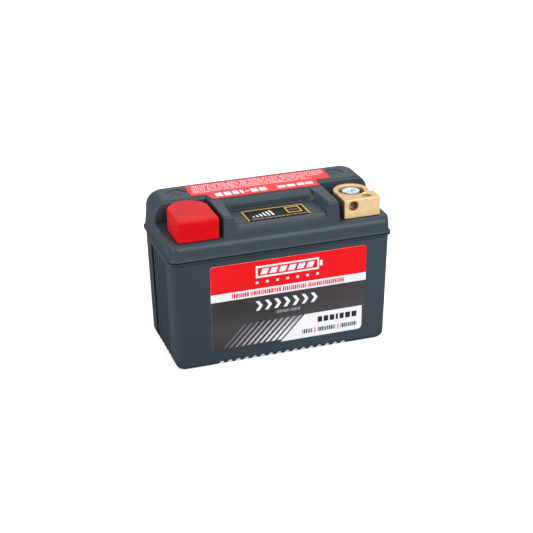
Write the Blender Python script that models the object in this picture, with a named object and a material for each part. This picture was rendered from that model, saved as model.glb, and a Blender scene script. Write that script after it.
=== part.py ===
"""Sealed 12 V lithium motorcycle battery.

Frame: origin at the centre of the base, +X towards the negative terminal, the printed front
faces -Y, +Z up. Sketches are in millimetres and meshes in metres.
"""

import math

import bmesh
import bpy
from mathutils import Vector
from mathutils.geometry import interpolate_bezier

MM = 0.001
GAP = 0.3  # clearance between neighbouring pieces
FILM_GAP = 0.1  # clearance under a printed film
FILM = 0.25  # thickness of a printed film

# Overall size, at the flange and at the top of the lid
LENGTH = 134.0
DEPTH = 65.0
HEIGHT = 92.0

# Case
DRAFT = 0.0216  # how far a case wall leans in for each millimetre down
FLANGE_OVERHANG = 1.2
FLANGE_BOTTOM = 67.8
CASE_TOP = 69.3
FLANGE_LIP = 0.4  # upright edge of a flange, before it slopes back to the wall
CORNER_R = 4.0
CASE_BASE_R = 4.0
CASE_FLOOR = 5.5
END_WALL = 3.4
SIDE_WALL = 2.2

# Ribs on the ends of the case, and the teeth under it
RIB_TOP = 62.5
RIB_PITCH = 5.2
RIB_MIDDLE = 0.6
RIB_WIDTH = 2.6
RIB_GROOVES = 7
RIB_DEPTH = 1.5
RIB_SETBACK = 0.5
TOOTH_PITCH = 5.05
TOOTH_COUNT = 16
TOOTH_NOTCH_W = 3.0
TOOTH_NOTCH_H = 3.0
TOOTH_LIFT = 0.7

# Lid
LID_WALL = 2.2
LID_BOTTOM = CASE_TOP + GAP
LID_FLANGE = 1.3
LID_SIDE_LEAN = 0.065  # how far the front and rear lean in for each millimetre up
LEDGE_Z = 79.2
LID_TOP = HEIGHT - FILM - FILM_GAP
SHOULDER_R = 5.5
LEDGE_CORNER_R = 1.5
LID_MIDDLE = 0.65  # the raised parts stand this far towards the negative end
PLATEAU_FRONT = 7.0
PLATEAU_PROUD = 0.6  # how far its ends stand out from the walls
PLATEAU_END_A = 8.1  # half axes of the ellipse that rounds the plateau's ends
PLATEAU_END_B = 8.6
PLATEAU_REAR_R = 5.0
CONSOLE_HALF = 34.8
CONSOLE_FRONT = -27.4
TRAY_MIDDLE = 0.2
TRAY_HALF = 26.2
TRAY_FLARE = 2.8
TRAY_REAR = -6.2
TRAY_FLOOR = 86.2
TRAY_BEVEL_REAR = 0.8
TRAY_BEVEL_Z = 89.6
TRAY_SLOPE_Y = -26.4
DISC_R = 5.35
DISC_X = 49.3
DISC_Y = 18.8
DISC_DEPTH = 0.5

# Terminals, mirrored about X = LID_MIDDLE and measured from it
TERMINAL_X = 48.65
TERMINAL_Y = -10.5
BLOCK_MID_X = 49.45
BLOCK_HALF = 11.1
BLOCK_R = 10.5
BLOCK_FRONT = -26.2
BLOCK_SHOULDER = -15.3
BLOCK_BOTTOM = LEDGE_Z + GAP
BLOCK_TOP = 90.9
COUNTERBORE_R = 7.75
COUNTERBORE_Z = 85.0
LEAD_HOLE_R = 3.0
FRONT_HOLE = (44.2, 86.7)
FRONT_HOLE_DEPTH = 6.6
TOP_HOLE = (54.0, -20.8)
TOP_HOLE_DEPTH = 7.0
BOLT_R = 3.0
BOLT_HEAD_AF = 10.0
BOLT_HEAD_H = 4.0
WASHER_R = 5.8
WASHER_H = 1.0
POST_R = 5.5
POST_FLANGE_R = 8.0
POST_BOTTOM = 71.6
CAP_HALF = 12.2
CAP_WALL = 0.7
CAP_ROOF = 0.7
CAP_FRONT = -28.0
CAP_ROUND_Y = -7.4

# Printed films and the test button
FRONT_LABEL = (-44.0, 51.0, 9.4, 64.0)
INDICATOR_LABEL = (-18.9, 18.2, -26.2, -11.0)
BUTTON_X = 10.4
BUTTON_Y = -18.1
BUTTON_SIZE = 9.0
BUTTON_FLANGE = 11.0
BUTTON_TRAVEL = 0.5
WINDOW = (-16.0, 0.5, -22.5, -13.0)

# Cells, four of 26 mm diameter and 65 mm length standing two by two
CELL_R = 13.0
CELL_LENGTH = 65.0
CELL_PITCH = 26.9
CELL_BOTTOM = 6.5
STRAP_T = 0.3
STRAP_HALF = 4.5
WIRING_HOLE_R = 4.2

HOLDER_HALF_X = 28.3
HOLDER_HALF_Y = 27.2
HOLDER_H = 4.0
HOLDER_CORNER_R = 3.0
LOWER_HOLDER_Z = 8.0
UPPER_HOLDER_Z = 62.0
FOAM_ENDS = (29.0, 60.0)
FOAM_HALF_Y = 26.5
FOAM_TOP = 62.0

# Boards and wiring; a plan is left, right, front and rear
BOARD_T = 1.6
BOARD_CORNER_R = 1.0
BALANCE_BOARD = (-28.0, 28.0, -19.0, 25.5)
BALANCE_BOARD_Z = 75.6
BALANCE_PEGS = [(-25.5, 0.0), (25.5, 0.0), (0.0, 23.0)]
BALANCE_PEG_R = 1.6
RESISTOR_SIZE = (6.4, 3.2, 0.8)
RESISTOR_PITCH = 10.0
RESISTOR_Y = 13.6
INDICATOR_BOARD = (-24.5, 24.5, -23.9, -9.0)
INDICATOR_BOARD_Z = 80.2
INDICATOR_PEG_X = 22.0
INDICATOR_PEG_R = 1.1
SWITCH_SIZE = 4.4
SWITCH_H = 0.45
LED_COUNT = 6
LED_SIZE = (1.2, 2.4, 0.7)
LED_Y = -17.8
LUG_R = 6.0
LUG_T = 1.2
LUG_TONGUE = 11.0
LEAD_R = 1.3
SENSE_WIRE_R = 0.5

COLOURS = {
    "case_plastic": ((0.055, 0.070, 0.082), 0.48, 0.0),
    "lid_plastic": ((0.060, 0.076, 0.088), 0.45, 0.0),
    "red_rubber": ((0.640, 0.006, 0.016), 0.42, 0.0),
    "brass": ((0.760, 0.520, 0.270), 0.38, 1.0),
    "zinc": ((0.640, 0.700, 0.720), 0.25, 1.0),
    "red_print": ((0.800, 0.020, 0.030), 0.40, 0.0),
    "black_print": ((0.020, 0.018, 0.020), 0.40, 0.0),
    "cell_wrap": ((0.030, 0.160, 0.420), 0.40, 0.0),
    "nickel": ((0.620, 0.600, 0.560), 0.35, 1.0),
    "tinned_copper": ((0.600, 0.580, 0.560), 0.35, 1.0),
    "board_green": ((0.010, 0.160, 0.060), 0.45, 0.0),
    "component_black": ((0.020, 0.020, 0.022), 0.50, 0.0),
    "led_white": ((0.850, 0.870, 0.800), 0.30, 0.0),
    "red_wire": ((0.600, 0.010, 0.010), 0.45, 0.0),
    "black_wire": ((0.015, 0.015, 0.015), 0.45, 0.0),
    "foam": ((0.060, 0.060, 0.065), 0.95, 0.0),
    "holder_plastic": ((0.045, 0.045, 0.048), 0.55, 0.0),
}


# ---------------------------------------------------------------- materials and objects


def make_materials():
    """One Principled material for each colour of the object."""
    made = {}
    for name, (colour, roughness, metallic) in COLOURS.items():
        material = bpy.data.materials.new(name)
        material.use_nodes = True
        shader = material.node_tree.nodes["Principled BSDF"]
        shader.inputs["Base Color"].default_value = (*colour, 1.0)
        shader.inputs["Roughness"].default_value = roughness
        shader.inputs["Metallic"].default_value = metallic
        made[name] = material
    return made


def finish(name, bm, material, origin=(0.0, 0.0, 0.0)):
    """Links a sketch in millimetres as a named object in metres, its origin at a point."""
    bmesh.ops.recalc_face_normals(bm, faces=bm.faces)
    bmesh.ops.translate(bm, verts=bm.verts, vec=-Vector(origin))
    bmesh.ops.scale(bm, verts=bm.verts, vec=(MM, MM, MM))
    mesh = bpy.data.meshes.new(name)
    bm.to_mesh(mesh)
    bm.free()
    mesh.shade_smooth()
    mesh.set_sharp_from_angle(angle=math.radians(35.0))
    if material:
        mesh.materials.append(material)
    obj = bpy.data.objects.new(name, mesh)
    obj.location = Vector(origin) * MM
    bpy.context.scene.collection.objects.link(obj)
    return obj


def boolean(target, bm, operation, name):
    """Cuts a sketch from an object, or joins it on, with a hidden tool body."""
    tool = finish(name, bm, None)
    tool.hide_render = True
    tool.display_type = "WIRE"
    modifier = target.modifiers.new(name, "BOOLEAN")
    modifier.operation = operation
    modifier.object = tool


# ---------------------------------------------------------------- sketch shapes


def arc(centre, radius, start, end, steps):
    """Points along an arc in plan, angles in degrees."""
    turn = (end - start) / steps
    angles = [math.radians(start + turn * i) for i in range(steps + 1)]
    return [(centre[0] + radius * math.cos(a), centre[1] + radius * math.sin(a)) for a in angles]


def circle(centre, radius, steps):
    """Points round a circle in plan, with none repeated."""
    return arc(centre, radius, 0.0, 360.0, steps)[:-1]


def rounded_box(x0, x1, y0, y1, front_r, rear_r=None, steps=4):
    """Plan of a rectangle with rounded corners, anticlockwise from the front right."""
    rear_r = front_r if rear_r is None else rear_r
    points = arc((x1 - front_r, y0 + front_r), front_r, -90.0, 0.0, steps)
    points += arc((x1 - rear_r, y1 - rear_r), rear_r, 0.0, 90.0, steps)
    points += arc((x0 + rear_r, y1 - rear_r), rear_r, 90.0, 180.0, steps)
    points += arc((x0 + front_r, y0 + front_r), front_r, 180.0, 270.0, steps)
    return points


def on_lid(side, x):
    """Where something stands that is mirrored about the lid's middle; side is -1 or 1."""
    return LID_MIDDLE + side * x


def terminal_centre(side):
    return (on_lid(side, TERMINAL_X), TERMINAL_Y)


def at_height(plan, z):
    """Lifts a plan's points to a height."""
    return [(x, y, z) for x, y in plan]


def add_loft(bm, rings, closed=False):
    """Skins rings of equal count, bottom to top, with end caps, or joined last to first."""
    layers = [[bm.verts.new(point) for point in ring] for ring in rings]
    pairs = list(zip(layers, layers[1:]))
    if closed:
        pairs.append((layers[-1], layers[0]))
    for lower, upper in pairs:
        for i in range(len(lower)):
            j = (i + 1) % len(lower)
            bm.faces.new((lower[i], lower[j], upper[j], upper[i]))
    if not closed:
        bm.faces.new(list(reversed(layers[0])))
        bm.faces.new(layers[-1])


def add_prism(bm, plan, bottom, top):
    """Extrudes a plan between two heights."""
    add_loft(bm, [at_height(plan, bottom), at_height(plan, top)])


def add_box(bm, x0, x1, y0, y1, z0, z1):
    """A plain box between two corners."""
    add_prism(bm, [(x0, y0), (x1, y0), (x1, y1), (x0, y1)], z0, z1)


def add_turned(bm, centre, profile, steps, closed=False):
    """Turns a profile of (radius, height) about a vertical axis; closed leaves a bore."""
    rings = [at_height(circle(centre, radius, steps), z) for radius, z in profile]
    add_loft(bm, rings, closed)


def add_cross_section(bm, profile, x0, x1):
    """Extrudes a closed (y, z) profile along X."""
    add_loft(bm, [[(x, y, z) for y, z in profile] for x in (x0, x1)])


def loft_object(name, rings, material, origin=(0.0, 0.0, 0.0)):
    bm = bmesh.new()
    add_loft(bm, rings)
    return finish(name, bm, material, origin)


def box_object(name, corners, material, bevel=0.0):
    """A box, its upright edges rounded if a bevel is given."""
    x0, x1, y0, y1, z0, z1 = corners
    bm = bmesh.new()
    if bevel:
        add_prism(bm, rounded_box(x0, x1, y0, y1, bevel, steps=2), z0, z1)
    else:
        add_box(bm, x0, x1, y0, y1, z0, z1)
    return finish(name, bm, material)


def wire_object(name, route, radius, material, points=14, sides=3):
    """A round wire along one smooth curve from its first point to its last."""
    start, start_pull, end_pull, end = [Vector(p) * MM for p in route]
    curve = bpy.data.curves.new(name, "CURVE")
    curve.dimensions = "3D"
    curve.bevel_depth = radius * MM
    curve.bevel_resolution = sides
    curve.use_fill_caps = True
    spline = curve.splines.new("POLY")
    places = interpolate_bezier(start, start_pull, end_pull, end, points)
    spline.points.add(len(places) - 1)
    for point, place in zip(spline.points, places):
        point.co = (*place, 1.0)
    curve.materials.append(material)
    obj = bpy.data.objects.new(name, curve)
    bpy.context.scene.collection.objects.link(obj)
    return obj


# ---------------------------------------------------------------- case


def case_half(z):
    """Half length and half depth of the case's outside at a height."""
    lean = DRAFT * (FLANGE_BOTTOM - z)
    return LENGTH / 2 - FLANGE_OVERHANG - lean, DEPTH / 2 - FLANGE_OVERHANG - lean


def case_ring(z, inset, radius):
    half_x, half_y = case_half(z)
    half_x -= inset
    half_y -= inset
    return at_height(rounded_box(-half_x, half_x, -half_y, half_y, radius), z)


def flange_ring(z):
    radius = CORNER_R + 0.5
    return at_height(rounded_box(-LENGTH / 2, LENGTH / 2, -DEPTH / 2, DEPTH / 2, radius), z)


def rib_cutter(bm, side):
    """The grooves between the ribs of one end, as a comb that leans with the wall."""
    heights = ((-1.0, 0.0), (RIB_TOP - 1.5, 0.0), (RIB_TOP + 0.5, RIB_DEPTH + 0.1))
    first = RIB_MIDDLE - RIB_PITCH * (RIB_GROOVES - 1) / 2
    half_groove = (RIB_PITCH - RIB_WIDTH) / 2
    rings = []
    for z, fade in heights:
        wall = case_half(z)[0]
        deep = wall - RIB_DEPTH + fade
        shallow = wall - RIB_SETBACK + fade
        teeth = []
        for groove in range(RIB_GROOVES):
            y = first + groove * RIB_PITCH
            if groove:
                teeth.append((shallow, y - half_groove))
            teeth.append((deep, y - half_groove))
            teeth.append((deep, y + half_groove))
            if groove < RIB_GROOVES - 1:
                teeth.append((shallow, y + half_groove))
        back = wall + 5.0
        plan = [*teeth, (back, teeth[-1][1]), (back, teeth[0][1])]
        rings.append([(side * x, y, z) for x, y in plan])
    add_loft(bm, rings)


def tooth_cutter(bm):
    """Arched notches across the underside, and the slight lift of the teeth between."""
    reach = DEPTH / 2 + 3.0
    half = TOOTH_NOTCH_W / 2
    first = -TOOTH_PITCH * (TOOTH_COUNT - 1) / 2
    for tooth in range(TOOTH_COUNT):
        x = first + tooth * TOOTH_PITCH
        arch = arc((x, TOOTH_NOTCH_H - half), half, 0.0, 180.0, 6)
        profile = [(x + half, -1.0), *arch, (x - half, -1.0)]
        add_loft(bm, [[(px, y, pz) for px, pz in profile] for y in (-reach, reach)])


def tooth_lift_cutter(bm):
    """A shallow flat recess that lifts the toothed middle off the surface."""
    half = TOOTH_PITCH * TOOTH_COUNT / 2
    reach = DEPTH / 2 + 3.0
    profile = [(-half - 3.0, -1.0), (half + 3.0, -1.0), (half, TOOTH_LIFT), (-half, TOOTH_LIFT)]
    add_loft(bm, [[(x, y, z) for x, z in profile] for y in (-reach, reach)])


def make_case(paint):
    rings = []
    for degrees in (0.0, 22.5, 45.0, 67.5, 90.0):
        angle = math.radians(degrees)
        z = CASE_BASE_R * (1.0 - math.cos(angle))
        inset = CASE_BASE_R * (1.0 - math.sin(angle))
        rings.append(case_ring(z, inset, CORNER_R))
    rings.append(case_ring(FLANGE_BOTTOM, 0.0, CORNER_R))
    rings.append(flange_ring(CASE_TOP - FLANGE_LIP))
    rings.append(flange_ring(CASE_TOP))
    case = loft_object("case", rings, paint["case_plastic"])

    hollow = bmesh.new()
    inside = []
    for z in (CASE_FLOOR, CASE_TOP + 1.0):
        half_x, half_y = case_half(z)
        half_x -= END_WALL
        half_y -= SIDE_WALL
        inside.append(at_height(rounded_box(-half_x, half_x, -half_y, half_y, 2.0, steps=2), z))
    add_loft(hollow, inside)
    boolean(case, hollow, "DIFFERENCE", "case_hollow")

    for side, name in ((-1, "left_rib_grooves"), (1, "right_rib_grooves")):
        grooves = bmesh.new()
        rib_cutter(grooves, side)
        boolean(case, grooves, "DIFFERENCE", name)
    lift = bmesh.new()
    tooth_lift_cutter(lift)
    boolean(case, lift, "DIFFERENCE", "tooth_lift")
    notches = bmesh.new()
    tooth_cutter(notches)
    boolean(case, notches, "DIFFERENCE", "tooth_notches")


# ---------------------------------------------------------------- lid


def lid_half(z):
    """Half length and half depth of the lid's walls at a height, below the roundings."""
    rise = z - LID_BOTTOM - LID_FLANGE
    half_x = LENGTH / 2 - FLANGE_OVERHANG - DRAFT * rise
    half_y = DEPTH / 2 - FLANGE_OVERHANG - LID_SIDE_LEAN * rise
    return half_x, half_y


def ledge_rings():
    """Flange, wall, wide front shoulder and flat ledge."""
    wall_bottom = LID_BOTTOM + LID_FLANGE
    rings = [flange_ring(LID_BOTTOM), flange_ring(LID_BOTTOM + FLANGE_LIP)]
    half_x, half_y = lid_half(wall_bottom)
    plan = rounded_box(-half_x, half_x, -half_y, half_y - 0.4, CORNER_R)
    rings.append(at_height(plan, wall_bottom))
    for degrees in (0.0, 22.5, 45.0, 67.5, 90.0):
        angle = math.radians(degrees)
        z = LEDGE_Z - SHOULDER_R * (1.0 - math.sin(angle))
        drop = SHOULDER_R * (1.0 - math.cos(angle))
        half_x, half_y = lid_half(z)
        radius = CORNER_R - (CORNER_R - LEDGE_CORNER_R) * drop / SHOULDER_R
        plan = rounded_box(-half_x, half_x, drop - half_y, half_y - 0.4 - drop, radius)
        rings.append(at_height(plan, z))
    return rings


def plateau_ends(z, inset=0.0):
    """Left and right end of the plateau at a height: a lean, then a quarter ellipse."""
    spring = LID_TOP - PLATEAU_END_B
    half = lid_half(min(z, spring))[0] + PLATEAU_PROUD - inset
    if z > spring:
        rise = min((z - spring) / (PLATEAU_END_B - inset), 1.0)
        half -= (PLATEAU_END_A - inset) * (1.0 - math.sqrt(1.0 - rise * rise))
    middle = LID_MIDDLE * min((z - LID_BOTTOM) / (LEDGE_Z - LID_BOTTOM), 1.0)
    return middle - half, middle + half


def plateau_rings():
    """The raised rear of the lid, with long rounded ends."""
    edge = 1.8
    levels = [LID_BOTTOM + LID_FLANGE - 0.5, LEDGE_Z]
    levels += [LID_TOP - PLATEAU_END_B * fall for fall in (1.0, 0.65, 0.4)]
    levels += [LID_TOP - edge, LID_TOP - 0.9, LID_TOP - 0.3, LID_TOP]
    rings = []
    for z in levels:
        rise = max(0.0, (z - (LID_TOP - edge)) / edge)
        drop = edge * (1.0 - math.sqrt(1.0 - rise * rise))
        left, right = plateau_ends(z - 0.02)
        rear = lid_half(z)[1] - drop
        plan = rounded_box(left, right, PLATEAU_FRONT + drop, rear, 1.5, PLATEAU_REAR_R)
        rings.append(at_height(plan, z))
    return rings


def console_rings():
    """The raised middle of the lid between the two terminal pockets."""
    edge = 1.2
    rings = []
    for z, drop in (
        (LEDGE_Z - 3.0, 0.0),
        (LID_TOP - 0.05 - edge, 0.0),
        (LID_TOP - 0.05 - edge / 3, edge / 3),
        (LID_TOP - 0.05, edge),
    ):
        flare = (LID_TOP - z) / (LID_TOP - LEDGE_Z)
        left = LID_MIDDLE - CONSOLE_HALF - 0.5 * flare + drop
        right = LID_MIDDLE + CONSOLE_HALF + 0.5 * flare - drop
        front = CONSOLE_FRONT - 1.3 * flare + drop
        plan = rounded_box(left, right, front, PLATEAU_FRONT + 6.0, 1.6)
        rings.append(at_height(plan, z))
    return rings


def tray_rings():
    """The tray's hollow: narrower at the floor and at the rear, open at the front."""
    reach = CONSOLE_FRONT - 6.0
    slant = TRAY_FLARE / (HEIGHT - TRAY_FLOOR)
    rings = []
    for z in (TRAY_FLOOR, HEIGHT + 2.0):
        front = TRAY_HALF + 0.6 + slant * (z - TRAY_FLOOR)
        rear = front - 1.2
        plan = [(-front, reach), (front, reach), (rear, TRAY_REAR), (-rear, TRAY_REAR)]
        rings.append([(TRAY_MIDDLE + x, y, z) for x, y in plan])
    return rings


def tray_slopes(bm):
    """The slope behind the tray, and the one where its floor runs out to the front."""
    run = TRAY_BEVEL_REAR - TRAY_REAR
    slope = (LID_TOP - TRAY_BEVEL_Z) / run
    over = 2.0
    rear = [
        (TRAY_BEVEL_REAR + over, LID_TOP + slope * over),
        (TRAY_BEVEL_REAR + over, HEIGHT + 3.0),
        (TRAY_REAR - over, HEIGHT + 3.0),
        (TRAY_REAR - over, TRAY_BEVEL_Z - slope * over),
    ]
    half = TRAY_HALF + 1.0
    add_cross_section(bm, rear, TRAY_MIDDLE - half, TRAY_MIDDLE + half)
    above = 0.5
    out = 4.0
    steepness = 2.0
    start = TRAY_SLOPE_Y + above / steepness
    front = [
        (start, TRAY_FLOOR + above),
        (start - out, TRAY_FLOOR + above),
        (start - out, TRAY_FLOOR + above - steepness * out),
    ]
    add_cross_section(bm, front, TRAY_MIDDLE - half, TRAY_MIDDLE + half)


def lid_hollows():
    """Three hollows that together leave an even wall under the lid."""
    half_x, half_y = lid_half(LEDGE_Z)
    half_x -= LID_WALL
    half_y -= LID_WALL
    under_ledge = bmesh.new()
    plan = rounded_box(-half_x, half_x, -half_y + 0.6, half_y - 0.6, 2.0, steps=2)
    add_prism(under_ledge, plan, LID_BOTTOM - 1.0, LEDGE_Z - LID_WALL)

    under_plateau = bmesh.new()
    rings = []
    inner_top = LID_TOP - LID_WALL
    for z in (LID_BOTTOM + 0.5, LEDGE_Z, LID_TOP - PLATEAU_END_B, 86.0, 88.2, inner_top):
        left, right = plateau_ends(z, LID_WALL)
        plan = rounded_box(left, right, PLATEAU_FRONT + LID_WALL, half_y - 0.9, 1.0, 4.0, 2)
        rings.append(at_height(plan, z))
    add_loft(under_plateau, rings)

    under_console = bmesh.new()
    inner = CONSOLE_HALF - LID_WALL
    add_box(
        under_console,
        LID_MIDDLE - inner,
        LID_MIDDLE + inner,
        CONSOLE_FRONT + LID_WALL,
        PLATEAU_FRONT + LID_WALL + 1.0,
        LID_BOTTOM + 0.7,
        TRAY_FLOOR - LID_WALL,
    )
    return {
        "under_ledge": under_ledge,
        "under_plateau": under_plateau,
        "under_console": under_console,
    }


def lid_bosses(bm):
    """Bosses round the terminal posts, and pegs that carry the indicator board."""
    for side in (-1, 1):
        boss = circle(terminal_centre(side), POST_FLANGE_R, 24)
        add_prism(bm, boss, POST_BOTTOM + 2.4, LEDGE_Z - 1.0)
        peg = [
            (INDICATOR_PEG_R, INDICATOR_BOARD_Z - 0.6),
            (INDICATOR_PEG_R, INDICATOR_BOARD_Z + BOARD_T + GAP),
            (2 * INDICATOR_PEG_R, INDICATOR_BOARD_Z + BOARD_T + GAP),
            (2 * INDICATOR_PEG_R, TRAY_FLOOR - 1.0),
        ]
        add_turned(bm, (side * INDICATOR_PEG_X, BUTTON_Y), peg, 12)


def lid_openings(bm):
    """Post holes, the button hole, the window behind the bar graph and the polarity discs."""
    for side in (-1, 1):
        hole = circle(terminal_centre(side), POST_R + GAP, 24)
        add_prism(bm, hole, POST_BOTTOM, LEDGE_Z + 1.0)
        disc = circle((on_lid(side, DISC_X), DISC_Y), DISC_R, 24)
        add_prism(bm, disc, LID_TOP - DISC_DEPTH, LID_TOP + 1.0)
    half = BUTTON_SIZE / 2 + GAP
    bottom = TRAY_FLOOR - LID_WALL - 1.0
    top = TRAY_FLOOR + 1.0
    add_box(bm, BUTTON_X - half, BUTTON_X + half, BUTTON_Y - half, BUTTON_Y + half, bottom, top)
    add_box(bm, *WINDOW, bottom, top)


def make_lid(paint):
    lid = loft_object("lid", ledge_rings(), paint["lid_plastic"])
    for name, rings, operation in (
        ("plateau", plateau_rings(), "UNION"),
        ("console", console_rings(), "UNION"),
        ("tray", tray_rings(), "DIFFERENCE"),
    ):
        bm = bmesh.new()
        add_loft(bm, rings)
        boolean(lid, bm, operation, name)
    slopes = bmesh.new()
    tray_slopes(slopes)
    boolean(lid, slopes, "DIFFERENCE", "tray_slopes")
    for name, hollow in lid_hollows().items():
        boolean(lid, hollow, "DIFFERENCE", name)
    bosses = bmesh.new()
    lid_bosses(bosses)
    boolean(lid, bosses, "UNION", "lid_bosses")
    openings = bmesh.new()
    lid_openings(openings)
    boolean(lid, openings, "DIFFERENCE", "lid_openings")


# ---------------------------------------------------------------- terminals


def block_plan(side, inset):
    """Plan of a terminal block: a rectangle at the front that runs into a round rear."""
    radius = BLOCK_R - inset
    shoulder = BLOCK_SHOULDER - inset
    dip = math.degrees(math.asin((TERMINAL_Y - shoulder) / radius))
    points = arc((TERMINAL_X, TERMINAL_Y), radius, -dip, 180.0 + dip, 24)
    left = BLOCK_MID_X - BLOCK_HALF + inset
    right = BLOCK_MID_X + BLOCK_HALF - inset
    front = BLOCK_FRONT + inset
    corner = 0.6
    points += [(left, shoulder)]
    points += arc((left + corner, front + corner), corner, 180.0, 270.0, 2)
    points += arc((right - corner, front + corner), corner, 270.0, 360.0, 2)
    points += [(right, shoulder)]
    return [(on_lid(side, x), y) for x, y in points]


def make_terminal_block(name, side, paint):
    chamfer = 0.35
    rings = [
        at_height(block_plan(side, 0.0), BLOCK_BOTTOM),
        at_height(block_plan(side, 0.0), BLOCK_TOP - chamfer),
        at_height(block_plan(side, chamfer), BLOCK_TOP),
    ]
    block = loft_object(name, rings, paint["brass"])
    cuts = bmesh.new()
    centre = terminal_centre(side)
    bore = [
        (BOLT_R + 0.4, BLOCK_BOTTOM - 1.0),
        (BOLT_R + 0.4, COUNTERBORE_Z),
        (COUNTERBORE_R, COUNTERBORE_Z),
        (COUNTERBORE_R, BLOCK_TOP + 1.0),
    ]
    add_turned(cuts, centre, bore, 24)
    top_centre = (on_lid(side, TOP_HOLE[0]), TOP_HOLE[1])
    top_hole = [(LEAD_HOLE_R, BLOCK_TOP - TOP_HOLE_DEPTH), (LEAD_HOLE_R, BLOCK_TOP + 1.0)]
    add_turned(cuts, top_centre, top_hole, 20)
    ring = circle((on_lid(side, FRONT_HOLE[0]), FRONT_HOLE[1]), LEAD_HOLE_R, 20)
    ends = (BLOCK_FRONT - 1.0, BLOCK_FRONT + FRONT_HOLE_DEPTH)
    add_loft(cuts, [[(x, y, z) for x, z in ring] for y in ends])
    boolean(block, cuts, "DIFFERENCE", name + "_holes")


def hexagon(centre, across_flats, steps):
    """Plan of a hexagon with extra points along its sides."""
    points = []
    for i in range(6 * steps):
        angle = math.radians(360.0 / (6 * steps) * i)
        within = (math.degrees(angle) % 60.0) - 30.0
        radius = across_flats / 2 / math.cos(math.radians(within))
        points.append((centre[0] + radius * math.cos(angle), centre[1] + radius * math.sin(angle)))
    return points


def make_bolt(name, side, paint):
    """A hexagon bolt with a cross recess, standing in the post."""
    centre = terminal_centre(side)
    seat = COUNTERBORE_Z + GAP + WASHER_H + GAP
    top = seat + BOLT_HEAD_H
    tip = POST_BOTTOM + 2.0
    steps = 4
    count = 6 * steps
    rings = [
        at_height(circle(centre, BOLT_R - 0.6, count), tip),
        at_height(circle(centre, BOLT_R, count), tip + 0.6),
        at_height(circle(centre, BOLT_R, count), seat),
        at_height(hexagon(centre, BOLT_HEAD_AF, steps), seat),
        at_height(hexagon(centre, BOLT_HEAD_AF, steps), top - 0.5),
        at_height(circle(centre, BOLT_HEAD_AF / 2 - 0.4, count), top),
    ]
    bolt = loft_object(name, rings, paint["zinc"], (*centre, seat))
    long = 2.6
    short = 0.65
    cross = [
        (long, -short),
        (long, short),
        (short, short),
        (short, long),
        (-short, long),
        (-short, short),
        (-long, short),
        (-long, -short),
        (-short, -short),
        (-short, -long),
        (short, -long),
        (short, -short),
    ]
    recess = bmesh.new()
    lower = [(centre[0] + 0.6 * x, centre[1] + 0.6 * y, top - 2.0) for x, y in cross]
    upper = [(centre[0] + 1.15 * x, centre[1] + 1.15 * y, top + 0.5) for x, y in cross]
    add_loft(recess, [lower, upper])
    boolean(bolt, recess, "DIFFERENCE", name + "_cross")


def make_washer(name, side, paint):
    centre = terminal_centre(side)
    bottom = COUNTERBORE_Z + GAP
    bore = BOLT_R + GAP
    profile = [
        (bore, bottom),
        (WASHER_R, bottom),
        (WASHER_R, bottom + WASHER_H),
        (bore, bottom + WASHER_H),
    ]
    bm = bmesh.new()
    add_turned(bm, centre, profile, 24, closed=True)
    finish(name, bm, paint["zinc"], (*centre, bottom))


def make_post(name, side, paint):
    """The brass insert that carries the current through the lid."""
    bore = BOLT_R + GAP
    profile = [
        (bore, POST_BOTTOM),
        (POST_FLANGE_R, POST_BOTTOM),
        (POST_FLANGE_R, POST_BOTTOM + 2.0),
        (POST_R, POST_BOTTOM + 2.0),
        (POST_R, LEDGE_Z),
        (bore, LEDGE_Z),
    ]
    bm = bmesh.new()
    add_turned(bm, terminal_centre(side), profile, 24, closed=True)
    finish(name, bm, paint["brass"])


def make_lug(name, side, paint):
    """A ring terminal: an eye under the post and a tongue that the lead is crimped to."""
    top = POST_BOTTOM - GAP
    bottom = top - LUG_T
    eye = arc((TERMINAL_X, TERMINAL_Y), LUG_R, 200.0, 520.0, 20)
    tongue_end = TERMINAL_X - LUG_TONGUE
    plan = [*eye, (tongue_end, TERMINAL_Y + 2.05), (tongue_end, TERMINAL_Y - 2.05)]
    plan = [(on_lid(side, x), y) for x, y in plan]
    bm = bmesh.new()
    add_prism(bm, plan, bottom, top)
    lug = finish(name, bm, paint["tinned_copper"])
    hole = bmesh.new()
    eye_hole = circle(terminal_centre(side), BOLT_R + GAP, 24)
    add_prism(hole, eye_hole, bottom - 1.0, top + 1.0)
    boolean(lug, hole, "DIFFERENCE", name + "_hole")


def make_lug_screw(name, side, paint):
    centre = terminal_centre(side)
    seat = POST_BOTTOM - 2 * GAP - LUG_T
    profile = [
        (4.6, seat - 2.6),
        (5.0, seat - 2.2),
        (5.0, seat),
        (BOLT_R, seat),
        (BOLT_R, POST_BOTTOM + 1.2),
    ]
    bm = bmesh.new()
    add_turned(bm, centre, profile, 18)
    finish(name, bm, paint["zinc"])


def cap_plan(half, front, corner):
    """Plan of the cap: straight sides that run into a half circle at the rear."""
    middle = on_lid(-1, BLOCK_MID_X)
    points = arc((middle, CAP_ROUND_Y), half, 0.0, 180.0, 16)
    points += arc((middle - half + corner, front + corner), corner, 180.0, 270.0, 3)
    points += arc((middle + half - corner, front + corner), corner, 270.0, 360.0, 3)
    return points


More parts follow.
